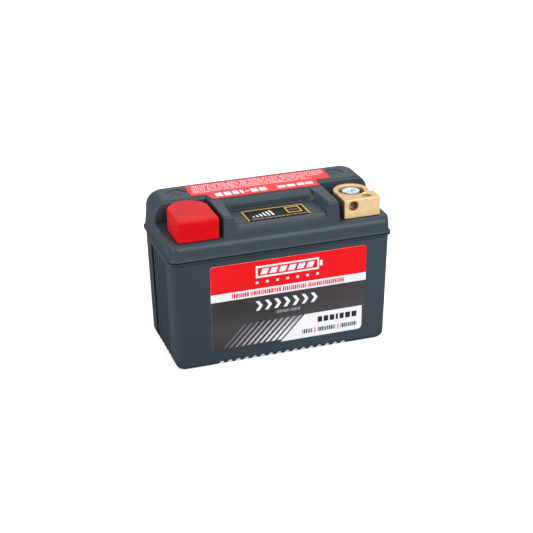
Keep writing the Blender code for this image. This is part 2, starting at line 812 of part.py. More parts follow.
def make_cap(paint):
    rings = [at_height(cap_plan(CAP_HALF, CAP_FRONT, 1.3), BLOCK_BOTTOM)]
    edge = 1.0
    for degrees in (0.0, 30.0, 60.0, 90.0):
        angle = math.radians(degrees)
        z = HEIGHT - edge * (1.0 - math.sin(angle))
        drop = edge * (1.0 - math.cos(angle))
        rings.append(at_height(cap_plan(CAP_HALF - drop, CAP_FRONT + drop, 1.3), z))
    origin = (on_lid(-1, BLOCK_MID_X), CAP_ROUND_Y, BLOCK_BOTTOM)
    cap = loft_object("terminal_cap", rings, paint["red_rubber"], origin)
    hollow = bmesh.new()
    plan = cap_plan(CAP_HALF - CAP_WALL, CAP_FRONT + CAP_WALL, 0.5)
    add_prism(hollow, plan, BLOCK_BOTTOM - 1.0, HEIGHT - CAP_ROOF)
    boolean(cap, hollow, "DIFFERENCE", "cap_hollow")


def make_terminals(paint):
    for side, pole in ((-1, "positive"), (1, "negative")):
        make_terminal_block(pole + "_terminal_block", side, paint)
        make_bolt(pole + "_terminal_bolt", side, paint)
        make_washer(pole + "_bolt_washer", side, paint)
        make_post(pole + "_terminal_post", side, paint)
        make_lug(pole + "_lug", side, paint)
        make_lug_screw(pole + "_lug_screw", side, paint)
    make_cap(paint)


# ---------------------------------------------------------------- printed films and button


def make_front_label(paint):
    """A film that follows the lean of the case's front wall."""
    x0, x1, z0, z1 = FRONT_LABEL
    outline = rounded_box(x0, x1, z0, z1, 2.0, steps=3)
    rings = []
    for offset in (FILM_GAP, FILM_GAP + FILM):
        rings.append([(x, -case_half(z)[1] - offset, z) for x, z in outline])
    loft_object("front_label", rings, paint["red_print"])


def make_top_label(paint):
    """A film on the plateau with a tongue that covers the rear of the console."""
    plan = [
        (-31.8, 1.0),
        (34.0, 1.0),
        (34.6, 9.7),
        (44.2, 10.4),
        (45.4, 26.2),
        (-42.0, 26.2),
        (-42.0, 9.9),
        (-33.2, 9.2),
    ]
    bm = bmesh.new()
    add_prism(bm, plan, HEIGHT - FILM, HEIGHT)
    finish("top_label", bm, paint["red_print"])


def make_indicator_label(paint):
    x0, x1, y0, y1 = INDICATOR_LABEL
    bottom = TRAY_FLOOR + FILM_GAP
    label = box_object(
        "indicator_label", (x0, x1, y0, y1, bottom, bottom + FILM), paint["black_print"]
    )
    hole = bmesh.new()
    half = BUTTON_SIZE / 2 + GAP
    add_box(
        hole,
        BUTTON_X - half,
        BUTTON_X + half,
        BUTTON_Y - half,
        BUTTON_Y + half,
        bottom - 1.0,
        bottom + 1.0,
    )
    boolean(label, hole, "DIFFERENCE", "indicator_label_hole")


def make_button(paint):
    """A square key in the tray's floor, held in by a flange under it."""
    key_top = TRAY_FLOOR + FILM_GAP + FILM + 0.35
    flange_top = TRAY_FLOOR - LID_WALL - GAP
    switch_top = INDICATOR_BOARD_Z + BOARD_T + FILM_GAP + SWITCH_H
    flange_bottom = switch_top + BUTTON_TRAVEL + GAP / 2
    sections = (
        (BUTTON_FLANGE, flange_bottom),
        (BUTTON_FLANGE, flange_top),
        (BUTTON_SIZE, flange_top),
        (BUTTON_SIZE, key_top - 0.2),
        (BUTTON_SIZE - 0.4, key_top),
    )
    rings = []
    for size, z in sections:
        half = size / 2
        x0, x1 = BUTTON_X - half, BUTTON_X + half
        y0, y1 = BUTTON_Y - half, BUTTON_Y + half
        rings.append(at_height(rounded_box(x0, x1, y0, y1, 0.4, steps=2), z))
    origin = (BUTTON_X, BUTTON_Y, key_top)
    loft_object("test_button", rings, paint["black_print"], origin)


# ---------------------------------------------------------------- cells and electronics


def cell_centres():
    """Plan centres in series order: front left, rear left, rear right, front right."""
    half = CELL_PITCH / 2
    return [(-half, -half), (-half, half), (half, half), (half, -half)]


def make_cells(paint):
    top = CELL_BOTTOM + CELL_LENGTH
    for number, centre in enumerate(cell_centres(), start=1):
        profile = [
            (CELL_R - 0.8, CELL_BOTTOM),
            (CELL_R, CELL_BOTTOM + 0.8),
            (CELL_R, top - 1.4),
            (CELL_R - 0.8, top - 0.6),
            (6.0, top - 0.6),
            (5.4, top),
        ]
        if number % 2 == 0:
            profile = [(radius, CELL_BOTTOM + top - z) for radius, z in reversed(profile)]
        bm = bmesh.new()
        add_turned(bm, centre, profile, 28)
        finish(f"cell_{number}", bm, paint["cell_wrap"])


def make_holder(name, bottom, pegs, paint):
    """A frame with a round seat for each cell; the upper one carries board pegs."""
    top = bottom + HOLDER_H
    corners = (-HOLDER_HALF_X, HOLDER_HALF_X, -HOLDER_HALF_Y, HOLDER_HALF_Y, bottom, top)
    holder = box_object(name, corners, paint["holder_plastic"], HOLDER_CORNER_R)
    seats = bmesh.new()
    for centre in cell_centres():
        add_prism(seats, circle(centre, CELL_R + GAP, 28), bottom - 1.0, top + 1.0)
    add_prism(seats, circle((0.0, 0.0), WIRING_HOLE_R, 16), bottom - 1.0, top + 1.0)
    boolean(holder, seats, "DIFFERENCE", name + "_seats")
    if pegs:
        posts = bmesh.new()
        for centre in pegs:
            plan = circle(centre, BALANCE_PEG_R, 10)
            add_prism(posts, plan, top - 1.0, BALANCE_BOARD_Z - GAP)
        boolean(holder, posts, "UNION", name + "_pegs")


def strap_plan(start, end, half):
    """Plan of a strap with round ends over two cell centres."""
    (x0, y0), (x1, y1) = start, end
    heading = math.degrees(math.atan2(y1 - y0, x1 - x0))
    points = arc(start, half, heading + 90.0, heading + 270.0, 8)
    points += arc(end, half, heading - 90.0, heading + 90.0, 8)
    return points


def make_straps(paint):
    first, second, third, fourth = cell_centres()
    above = CELL_BOTTOM + CELL_LENGTH + GAP
    below = CELL_BOTTOM - GAP - STRAP_T
    for name, start, end, z in (
        ("series_strap_bottom_left", first, second, below),
        ("series_strap_top", second, third, above),
        ("series_strap_bottom_right", third, fourth, below),
    ):
        bm = bmesh.new()
        add_prism(bm, strap_plan(start, end, STRAP_HALF), z, z + STRAP_T)
        finish(name, bm, paint["nickel"])
    for name, centre, side in (("positive_tab", first, -1), ("negative_tab", fourth, 1)):
        bm = bmesh.new()
        end = (centre[0] + side * 7.0, centre[1])
        add_prism(bm, strap_plan(centre, end, STRAP_HALF), above, above + STRAP_T)
        finish(name, bm, paint["nickel"])


def make_foam(paint):
    for side, name in ((-1, "foam_block_left"), (1, "foam_block_right")):
        ends = sorted(side * end for end in FOAM_ENDS)
        corners = (*ends, -FOAM_HALF_Y, FOAM_HALF_Y, CASE_FLOOR + GAP, FOAM_TOP)
        box_object(name, corners, paint["foam"])


def make_holders(paint):
    make_holder("lower_cell_holder", LOWER_HOLDER_Z, [], paint)
    make_holder("upper_cell_holder", UPPER_HOLDER_Z, BALANCE_PEGS, paint)


def chip_corners(centre, size, foot):
    """A box's corners from its plan centre, its size and the height it stands at."""
    (x, y), (width, depth, height) = centre, size
    plan = (x - width / 2, x + width / 2, y - depth / 2, y + depth / 2)
    return (*plan, foot, foot + height)


def make_balance_board(paint):
    """The board over the cells, one bleed resistor for each cell."""
    bottom = BALANCE_BOARD_Z
    corners = (*BALANCE_BOARD, bottom, bottom + BOARD_T)
    box_object("balance_board", corners, paint["board_green"], BOARD_CORNER_R)
    foot = bottom + BOARD_T + FILM_GAP
    for number in range(1, 5):
        centre = (RESISTOR_PITCH * (number - 2.5), RESISTOR_Y)
        corners = chip_corners(centre, RESISTOR_SIZE, foot)
        box_object(f"balance_resistor_{number}", corners, paint["component_black"])


def make_indicator_board(paint):
    """The board under the tray, with the switch below the key and a lamp for each bar."""
    bottom = INDICATOR_BOARD_Z
    top = bottom + BOARD_T
    corners = (*INDICATOR_BOARD, bottom, top)
    board = box_object("indicator_board", corners, paint["board_green"], BOARD_CORNER_R)
    holes = bmesh.new()
    for side in (-1, 1):
        hole = circle((side * INDICATOR_PEG_X, BUTTON_Y), INDICATOR_PEG_R + GAP, 12)
        add_prism(holes, hole, bottom - 1.0, top + 1.0)
    boolean(board, holes, "DIFFERENCE", "indicator_board_holes")
    foot = top + FILM_GAP
    corners = chip_corners((BUTTON_X, BUTTON_Y), (SWITCH_SIZE, SWITCH_SIZE, SWITCH_H), foot)
    box_object("tact_switch", corners, paint["component_black"])
    pitch = (WINDOW[1] - WINDOW[0]) / LED_COUNT
    for number in range(1, LED_COUNT + 1):
        centre = (WINDOW[0] + pitch * (number - 0.5), LED_Y)
        corners = chip_corners(centre, LED_SIZE, foot)
        box_object(f"charge_led_{number}", corners, paint["led_white"])


def make_leads(paint):
    """The two main leads, the sense wires and the indicator's cable."""
    lug_z = POST_BOTTOM - GAP - LUG_T / 2
    above = CELL_BOTTOM + CELL_LENGTH + GAP + STRAP_T
    tab_x = CELL_PITCH / 2 + 9.0
    for side, pole, colour in ((-1, "positive", "red_wire"), (1, "negative", "black_wire")):
        start = (on_lid(side, TERMINAL_X - LUG_TONGUE - GAP), TERMINAL_Y, lug_z)
        start_pull = (on_lid(side, TERMINAL_X - 16.0), TERMINAL_Y, lug_z)
        end_pull = (side * (tab_x + 9.0), -13.4, above + 2.1)
        end = (side * (tab_x - 4.0), -13.4, above + 1.8)
        wire_object(pole + "_lead", [start, start_pull, end_pull, end], LEAD_R, paint[colour], 10)

    board_z = BALANCE_BOARD_Z - GAP
    on_top = above + GAP + SENSE_WIRE_R
    on_bottom = CELL_BOTTOM + SENSE_WIRE_R
    edge = CELL_PITCH / 2 - STRAP_HALF + 0.3
    for number, side in ((1, -1), (5, 1)):
        tab = (side * 14.5, -13.4, on_top)
        pulls = [(side * 8.0, -12.0, board_z - 1.8), (side * 9.5, -13.4, on_top)]
        route = [(side * 8.0, -12.0, board_z), *pulls, tab]
        wire_object(f"sense_wire_{number}", route, SENSE_WIRE_R, paint["red_wire"], 8, 2)
    for number, side in ((2, -1), (4, 1)):
        column = side * 1.6
        pulls = [(column, 0.0, -5.0), (column, 0.0, on_bottom)]
        route = [(column, 0.0, board_z), *pulls, (side * edge, 0.0, on_bottom)]
        wire_object(f"sense_wire_{number}", route, SENSE_WIRE_R, paint["black_wire"], 16, 2)
    pulls = [(0.0, 6.0, board_z - 2.6), (0.0, 9.0, on_top)]
    route = [(0.0, 6.0, board_z), *pulls, (0.0, 14.0, on_top)]
    wire_object("sense_wire_3", route, SENSE_WIRE_R, paint["black_wire"], 8, 2)

    start = (-15.0, -12.0, INDICATOR_BOARD_Z - GAP)
    end = (-15.0, 2.0, BALANCE_BOARD_Z + BOARD_T + GAP)
    pulls = [(-15.0, -12.0, start[2] - 1.8), (-15.0, 2.0, end[2] + 1.8)]
    wire_object("indicator_cable", [start, *pulls, end], 0.8, paint["black_wire"], 14, 2)


def main():
    for obj in list(bpy.data.objects):
        bpy.data.objects.remove(obj)
    paint = make_materials()
    make_case(paint)
    make_lid(paint)
    make_terminals(paint)
    make_front_label(paint)
    make_top_label(paint)
    make_indicator_label(paint)
    make_button(paint)
    make_cells(paint)
    make_straps(paint)
    make_foam(paint)
    make_holders(paint)
    make_balance_board(paint)
    make_indicator_board(paint)
    make_leads(paint)


main()
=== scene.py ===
"""Looks of the sealed motorcycle battery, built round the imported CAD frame.

Sketches are in millimetres and meshes in metres, in the CAD's own frame: the origin is at the
centre of the base, +X runs towards the negative terminal and the printed front faces -Y.
"""

import math
import random

import bmesh
import bpy
from mathutils import Matrix, Vector


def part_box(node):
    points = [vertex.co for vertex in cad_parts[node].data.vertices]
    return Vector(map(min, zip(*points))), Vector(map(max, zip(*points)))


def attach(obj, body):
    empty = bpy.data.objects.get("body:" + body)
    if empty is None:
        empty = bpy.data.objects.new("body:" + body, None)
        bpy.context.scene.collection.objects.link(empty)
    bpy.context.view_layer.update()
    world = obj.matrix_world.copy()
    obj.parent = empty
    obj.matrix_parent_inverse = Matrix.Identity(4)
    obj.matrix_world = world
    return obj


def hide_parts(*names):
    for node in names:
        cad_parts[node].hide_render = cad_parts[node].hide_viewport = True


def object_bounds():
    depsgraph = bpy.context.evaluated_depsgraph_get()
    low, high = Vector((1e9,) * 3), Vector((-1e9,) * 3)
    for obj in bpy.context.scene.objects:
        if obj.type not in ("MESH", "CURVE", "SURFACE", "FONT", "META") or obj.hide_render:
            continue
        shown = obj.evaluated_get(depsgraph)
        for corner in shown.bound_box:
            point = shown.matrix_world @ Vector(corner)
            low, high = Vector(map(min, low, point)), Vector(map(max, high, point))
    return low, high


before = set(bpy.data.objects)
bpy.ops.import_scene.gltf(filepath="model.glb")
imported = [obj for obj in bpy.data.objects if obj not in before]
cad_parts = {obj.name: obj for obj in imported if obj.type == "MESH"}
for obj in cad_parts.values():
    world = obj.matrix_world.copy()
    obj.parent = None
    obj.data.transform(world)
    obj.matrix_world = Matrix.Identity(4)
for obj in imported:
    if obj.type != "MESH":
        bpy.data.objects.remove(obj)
cad_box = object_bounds()

MM = 0.001


def node_box(node):
    """Lowest and highest corner of a CAD node in millimetres."""
    low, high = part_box(node)
    return low / MM, high / MM


# ---- sizes, from the frame

CASE_HIGH = node_box("case")[1]
LID_LOW, LID_HIGH = node_box("lid")
BLOCK_LOW, BLOCK_HIGH = node_box("negative_terminal_block")
CAP_LOW, CAP_HIGH = node_box("terminal_cap")
HALF_LENGTH = CASE_HIGH.x
HALF_DEPTH = CASE_HIGH.y
CASE_TOP = CASE_HIGH.z
LID_BOTTOM = LID_LOW.z
LID_TOP = LID_HIGH.z
TOP = cad_box[1].z / MM
BLOCK_MID_X = 49.45  # from the lid's middle to the middle of a terminal block, or of the cap
LID_MIDDLE = (CAP_LOW.x + CAP_HIGH.x) / 2 + BLOCK_MID_X

# Case
DRAFT = 0.0216  # how far a case wall leans in for each millimetre down
FLANGE_OVERHANG = 1.2
FLANGE_BOTTOM = CASE_TOP - 1.5
CORNER_R = 4.0
CASE_BASE_R = 4.0
CASE_FLOOR = 5.5
CASE_FLOOR_R = 2.0
CASE_INNER_R = 2.4
END_WALL = 3.4
SIDE_WALL = 2.2
# Profiles of the two lips: distance from the seam, inset at the ends, inset at front and rear
CASE_LIP = (
    *((0.0, 1.2, 1.2), (0.4, 0.15, 0.15), (0.55, 0.0, 0.0)),
    *((0.8, 0.05, 0.05), (0.95, 0.4, 0.4)),
)
LID_LIP = ((0.0, 0.9, 0.9), (0.2, 0.1, 0.1), (0.3, 0.0, 0.0), (0.6, 0.05, 0.08), (1.0, 0.5, 0.25))
RIB_FADE = 61.0  # where the grooves start to run out, and over what height
RIB_FADE_H = 2.2
RIB_PITCH = 5.2
RIB_MIDDLE = 0.6
RIB_GROOVES = 7
RIB_DEPTH = 1.5
RIB_SETBACK = 0.5
HALF_GROOVE = 1.3
TOOTH_PITCH = 5.05
TOOTH_COUNT = 16
NOTCH_HALF = 1.5
NOTCH_H = 3.0
TOOTH_TIP_R = 0.8
TOOTH_LIFT = 0.7

# Lid
LID_WALL = 2.2
LID_FLANGE = 1.3
LID_SIDE_OVERHANG = 0.45  # how far the lip stands out over the lid's front and rear
LID_SIDE_LEAN = 0.1  # how far the front and rear lean in for each millimetre up
LEDGE_Z = 79.2
SHOULDER_R = 3.8
LEDGE_CORNER_R = 1.5
PLATEAU_FRONT = 7.0
PLATEAU_END_A = 8.1
PLATEAU_END_B = 8.6
PLATEAU_PROUD = 0.6
PLATEAU_REAR_R = 5.0
PLATEAU_EDGE = 1.8
CONSOLE_HALF = 34.8
CONSOLE_FRONT = -27.4
CONSOLE_EDGE = 1.2
TRAY_MIDDLE = 0.2
TRAY_HALF = 26.2
TRAY_FLARE = 2.8
TRAY_REAR = -6.2
TRAY_FLOOR = 86.2
TRAY_CORNER_R = 4.0
TRAY_RIM_R = 0.7
TRAY_BEVEL_REAR = 0.8
TRAY_BEVEL_Z = 89.6
TRAY_SLOPE_Y = -26.4
# Profile cut off where the tray's floor rounds down to the front: distance out, and up
TRAY_RUN_OUT = (
    *((-4.0, 0.5), (-4.0, -8.0), (-0.55, -1.1), (-0.3, -0.48)),
    *((0.0, -0.12), (0.4, 0.02), (0.4, 0.5)),
)
DISC_R = 5.35
DISC_X = 49.3
DISC_Y = 18.8
DISC_DEPTH = 0.5

# Terminals, mirrored about LID_MIDDLE and measured from it
TERMINAL_X = 48.65
TERMINAL_Y = -10.5
BLOCK_R = 10.5
BLOCK_HALF = 11.1
BLOCK_SHOULDER = -15.3
BLOCK_EDGE = 0.35
BLOCK_CORNER_R = 0.5
COUNTERBORE_R = 7.75
COUNTERBORE_Z = 85.0
HOLE_R = 3.0
FRONT_HOLE = (44.2, 86.7)
FRONT_HOLE_DEPTH = 6.6
TOP_HOLE = (54.0, -20.8)
TOP_HOLE_DEPTH = 7.0
BOLT_R = 3.0
THREAD_PITCH = 1.0
THREAD_DEPTH = 0.32
HEAD_AF = 10.0
HEAD_H = 4.0
WASHER_R = 5.8
POST_R = 5.5
POST_BOTTOM = 71.6
BOSS_R = 8.0
CAP_HALF = 12.2
CAP_WALL = 0.7
CAP_ROUND_Y = -7.4
CAP_EDGE = 1.0

# Prints
PRINT_T = 0.03
FILM_LOW = 0.1  # levels of the front film and of the inks on it, from the wall
FILM_HIGH = 0.3
LAYER_1 = FILM_HIGH + PRINT_T
LAYER_2 = FILM_HIGH + 2 * PRINT_T
LAYER_3 = LAYER_2 + PRINT_T
FRONT_FILM = (-44.0, 51.0, 9.4, 64.0)
FRONT_FILM_R = 2.0
FRONT_STRIPE = (41.5, 46.5)
FRONT_PANEL = (-2.0, 48.9, 9.55, 25.0)  # its left edge slants in from this corner
FRONT_PANEL_R = 2.5
SLANT = 14.3 / 14.9  # run of the label's slanted edges for each millimetre up
ARROW_NOTCH = 2.2
BUTTON_CENTRE = (10.4, -18.1)
BUTTON_SIZE = 9.0
BUTTON_EDGE = 0.12
BUTTON_HOLE_HALF = BUTTON_SIZE / 2 + 0.3
WINDOW = (-16.0, 0.5, -22.5, -13.0)
INDICATOR_BOARD_TOP = node_box("indicator_board")[1].z


# ---- sketching


def arc(centre, radius, start, end, steps):
    """Points along an arc in plan, angles in degrees."""
    turn = (end - start) / steps
    angles = [math.radians(start + turn * i) for i in range(steps + 1)]
    return [(centre[0] + radius * math.cos(a), centre[1] + radius * math.sin(a)) for a in angles]


def circle(centre, radius, steps):
    return arc(centre, radius, 0.0, 360.0, steps)[:-1]


def rounded_box(x0, x1, y0, y1, front_r, rear_r=None, steps=8):
    """Plan of a rectangle with rounded corners, anticlockwise from the front right."""
    rear_r = front_r if rear_r is None else rear_r
    points = arc((x1 - front_r, y0 + front_r), front_r, -90.0, 0.0, steps)
    points += arc((x1 - rear_r, y1 - rear_r), rear_r, 0.0, 90.0, steps)
    points += arc((x0 + rear_r, y1 - rear_r), rear_r, 90.0, 180.0, steps)
    points += arc((x0 + front_r, y0 + front_r), front_r, 180.0, 270.0, steps)
    return points


def quarter(steps):
    """(rise, drop) shares along a rounded edge: the way up it, and the way in over it."""
    angles = [math.radians(90.0 * i / steps) for i in range(steps + 1)]
    return [(math.sin(a), 1.0 - math.cos(a)) for a in angles]


def over_edge(top, radius, steps):
    """(height, inset) pairs up and in over a rounded upper edge."""
    return [(top - radius * (1.0 - rise), radius * drop) for rise, drop in quarter(steps)]


def under_edge(bottom, radius, steps):
    """(height, inset) pairs out and up round a lower edge."""
    pairs = [(bottom + radius * (1.0 - rise), radius * drop) for rise, drop in quarter(steps)]
    return pairs[::-1]


def around(centre, half):
    """The x and y limits of a square about a centre."""
    x, y = centre
    return x - half, x + half, y - half, y + half


def at_height(plan, z):
    return [(x, y, z) for x, y in plan]


def on_lid(side, x):
    """Where something stands that is mirrored about the lid's middle; side is -1 or 1."""
    return LID_MIDDLE + side * x


def terminal_centre(side):
    return (on_lid(side, TERMINAL_X), TERMINAL_Y)


def add_loft(bm, rings, closed=False):
    """Skins rings of equal count, with end caps, or joined last to first."""
    layers = [[bm.verts.new(point) for point in ring] for ring in rings]
    pairs = list(zip(layers, layers[1:]))
    if closed:
        pairs.append((layers[-1], layers[0]))
    for lower, upper in pairs:
        for i in range(len(lower)):
            j = (i + 1) % len(lower)
            bm.faces.new((lower[i], lower[j], upper[j], upper[i]))
    if not closed:
        bm.faces.new(list(reversed(layers[0])))
        bm.faces.new(layers[-1])


def add_prism(bm, plan, bottom, top):
    add_loft(bm, [at_height(plan, bottom), at_height(plan, top)])


def add_box(bm, x0, x1, y0, y1, z0, z1):
    add_prism(bm, [(x0, y0), (x1, y0), (x1, y1), (x0, y1)], z0, z1)


def add_turned(bm, centre, profile, steps=48, closed=False):
    """Turns a profile of (radius, height) about a vertical axis; closed leaves a bore."""
    add_loft(bm, [at_height(circle(centre, radius, steps), z) for radius, z in profile], closed)


def add_across(bm, profile, x0, x1):
    """Extrudes a closed (y, z) profile along X."""
    add_loft(bm, [[(x, y, z) for y, z in profile] for x in (x0, x1)])


def link(name, bm):
    """Makes an object in metres from a sketch in millimetres."""
    bmesh.ops.recalc_face_normals(bm, faces=bm.faces)
    bmesh.ops.scale(bm, verts=bm.verts, vec=(MM, MM, MM))
    mesh = bpy.data.meshes.new(name)
    bm.to_mesh(mesh)
    bm.free()
    obj = bpy.data.objects.new(name, mesh)
    bpy.context.scene.collection.objects.link(obj)
    return obj


def draw(name, add, *arguments):
    """A new object from one add function and its arguments."""
    bm = bmesh.new()
    add(bm, *arguments)
    return link(name, bm)


def carve(target, add, *arguments, operation="DIFFERENCE"):
    """Cuts what one add function draws from an object at once."""
    tool = draw("tool", add, *arguments)
    modifier = target.modifiers.new("carve", "BOOLEAN")
    modifier.operation = operation
    modifier.object = tool
    graph = bpy.context.evaluated_depsgraph_get()
    carved = bpy.data.meshes.new_from_object(target.evaluated_get(graph))
    target.modifiers.clear()
    spent = [target.data, tool.data]
    target.data = carved
    bpy.data.objects.remove(tool)
    for mesh in spent:
        bpy.data.meshes.remove(mesh)


def join(target, add, *arguments):
    """Joins what one add function draws to an object."""
    carve(target, add, *arguments, operation="UNION")


def smooth(obj, sharp_degrees=32.0):
    """Smooth shading that flat faces don't bend."""
    obj.data.shade_smooth()
    obj.data.set_sharp_from_angle(angle=math.radians(sharp_degrees))
    normals = obj.modifiers.new("weighted_normals", "WEIGHTED_NORMAL")
    normals.keep_sharp = True
    normals.weight = 100


def place(obj, slot, body="housing", replaces=None, material=None):
    """Gives a finished piece its body and its material, that of its slot unless another
    is given, and hides the CAD node it stands for.
    """
    obj.data.materials.clear()
    obj.data.materials.append(material or paint[slot])
    smooth(obj)
    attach(obj, body)
    if replaces:
        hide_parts(replaces)


# ---- materials


def linear(red, green, blue):
    """A display colour of 0 to 255 as the linear colour that a shader takes."""
    channels = []
    for value in (red, green, blue):
        share = value / 255
        channels.append(share / 12.92 if share <= 0.04045 else ((share + 0.055) / 1.055) ** 2.4)
    return (*channels, 1.0)


class Finish:
    """A node material under construction, in the object's own coordinates."""

    def __init__(self, name, base=None, metallic=0.0, **sockets):
        self.base = base
        self.material = bpy.data.materials.new(name + "_finish")
        self.material.use_nodes = True
        self.tree = self.material.node_tree
        self.shader = self.tree.nodes["Principled BSDF"]
        self.shader.inputs["Metallic"].default_value = metallic
        for socket, value in sockets.items():
            self.shader.inputs[socket.replace("_", " ")].default_value = value
        self.place = self.node("ShaderNodeTexCoord").outputs["Object"]

    def feed(self, socket, value):
        """Links what another node puts out, or sets a plain value."""
        if isinstance(value, bpy.types.NodeSocket):
            self.tree.links.new(value, socket)
        else:
            socket.default_value = value

    def node(self, kind, **settings):
        made = self.tree.nodes.new(kind)
        for key, value in settings.items():
            if key in made.inputs:
                self.feed(made.inputs[key], value)
            else:
                setattr(made, key, value)
        return made

    def stretched(self, scale):
        """The object's coordinates scaled unevenly, for grain that runs one way."""
        return self.node("ShaderNodeMapping", Vector=self.place, Scale=scale).outputs[0]

    def texture(self, kind, size, place=None, **settings):
        """A texture whose features are about size millimetres across."""
        at = {"Vector": place or self.place, "Scale": 1.0 / (size * MM)}
        return self.node("ShaderNodeTex" + kind, **at, **settings)

    def noise(self, size, detail=2.0, roughness=0.5, place=None):
        made = self.texture("Noise", size, place, Detail=detail, Roughness=roughness)
        return made.outputs[0]

    def cells(self, size):
        return self.texture("Voronoi", size).outputs["Distance"]

    def ramp(self, factor, low, high):
        """Stretches a factor from low..high to 0..1."""
        ends = {"From Min": low, "From Max": high}
        return self.node("ShaderNodeMapRange", Value=factor, **ends).outputs[0]

    def cloud(self, size, detail=3.0, roughness=0.5):
        """Soft patches of 0 to 1, about size millimetres across."""
        return self.ramp(self.noise(size, detail, roughness), 0.35, 0.65)

    def along(self, axis, low, high, vector=None):
        """0 to 1 between two places along an axis, or between two values of a vector's part."""
        parts = self.node("ShaderNodeSeparateXYZ", Vector=vector or self.place)
        return self.ramp(parts.outputs[axis], low, high)

    def tones(self, factor, low, high):
        """The colour darkened or lightened by low to high as a factor goes from 0 to 1."""
        return self.mix(factor, shade(self.base, low), shade(self.base, high))

    def mix(self, factor, first, second):
        made = self.node("ShaderNodeMix", data_type="RGBA")
        for number, value in ((0, factor), (6, first), (7, second)):
            self.feed(made.inputs[number], value)
        return made.outputs[2]

    def colour(self, value):
        self.feed(self.shader.inputs["Base Color"], value)

    def roughness(self, factor, low, high):
        """Roughness from low to high as a factor goes from 0 to 1."""
        ends = {"To Min": low, "To Max": high}
        made = self.node("ShaderNodeMapRange", Value=factor, **ends)
        self.feed(self.shader.inputs["Roughness"], made.outputs[0])

    def relief(self, *layers, edge=0.0):
        """Stacks (height, depth in millimetres) bumps, over edges rounded by a radius."""
        normal = None
        if edge:
            normal = self.node("ShaderNodeBevel", samples=6, Radius=edge * MM).outputs[0]
        for height, depth in layers:
            bump = self.node("ShaderNodeBump", Height=height, Distance=depth * MM)
            if normal:
                self.feed(bump.inputs["Normal"], normal)
            normal = bump.outputs[0]
        self.feed(self.shader.inputs["Normal"], normal)

    def film(self, low, high):
        """The surface of a stuck-on film: even, with a shallow ripple."""
        self.roughness(self.noise(1.6, 3.0), low, high)
        self.relief((self.noise(7.0, 2.0), 0.02), (self.noise(0.6, 2.0), 0.003))

    def tops(self):
        """1 on faces that look up, 0 on walls: where light and shade are painted onto tops."""
        normal = self.node("ShaderNodeNewGeometry").outputs["Normal"]
        return self.along("Z", 0.85, 1.0, normal)

    def crevice_shade(self, reach, low, high):
        """1 on open surfaces, falling to 0 in grooves and holes no wider than the reach:
        a mask for shade painted into them.
        """
        shelter = self.node("ShaderNodeAmbientOcclusion", samples=8, Distance=reach * MM)
        return self.ramp(shelter.outputs["AO"], low, high)

    def edge_highlight(self, radius):
        """A mask of sharp edges for a painted highlight,
        found where the rounded normal leaves the true one.
        """
        rounded = self.node("ShaderNodeBevel", samples=6, Radius=radius * MM).outputs[0]
        true = self.node("ShaderNodeNewGeometry").outputs["Normal"]
        dot = self.node("ShaderNodeVectorMath", operation="DOT_PRODUCT")
        self.feed(dot.inputs[0], rounded)
        self.feed(dot.inputs[1], true)
        return self.ramp(dot.outputs["Value"], 0.995, 0.8)


def shade(colour, factor):
    return (*[min(1.0, channel * factor) for channel in colour[:3]], 1.0)


def moulded_plastic(name, colour, grain, gloss, right=1.0):
    """Glass-filled plastic: fine grain and flow marks, with painted shade in crevices,
    painted highlights on edges and tops, and painted light that makes one end paler.
    """
    made = Finish(name, colour, Specular_IOR_Level=0.26)
    flow = made.noise(24.0, 3.0)
    base = made.tones(made.ramp(flow, 0.35, 0.65), 0.93, 1.07)
    speck = made.ramp(made.noise(grain, 2.0), 0.4, 0.7)
    base = made.mix(speck, base, made.mix(0.5, base, shade(colour, 1.25)))
    # painted light: the plastic grows paler towards its right end, by the factor right
    base = made.mix(made.along("X", -0.03, 0.065), base, shade(colour, right))
    # painted sheen: faces that look up are lightened
    base = made.mix(made.tops(), base, shade(colour, 1.18))
    # painted shade: grooves, holes and the seam are darkened
    base = made.mix(made.crevice_shade(3.0, 0.3, 0.9), shade(colour, 0.3), base)
    # painted highlight: sharp edges are lightened
    made.colour(made.mix(made.edge_highlight(0.5), base, shade(colour, 1.5)))
    made.roughness(made.noise(3.5, 4.0), gloss - 0.06, gloss + 0.10)
    made.relief((made.noise(grain, 3.0, 0.6), 0.035), (flow, 0.12), edge=0.35)
    return made.material


def soft_rubber(name, colour):
    """Matt dip-moulded vinyl with a slight orange peel, and a painted highlight on its edges."""
    made = Finish(name, colour, Specular_IOR_Level=0.12)
    base = made.tones(made.cloud(9.0), 0.94, 1.05)
    # painted highlight: sharp edges are lightened
    made.colour(made.mix(made.edge_highlight(0.5), base, shade(colour, 1.15)))
    made.roughness(made.noise(2.0, 3.0), 0.38, 0.52)
    made.relief((made.noise(0.8, 2.0), 0.03), (made.noise(7.0, 1.0), 0.03), edge=0.4)
    return made.material


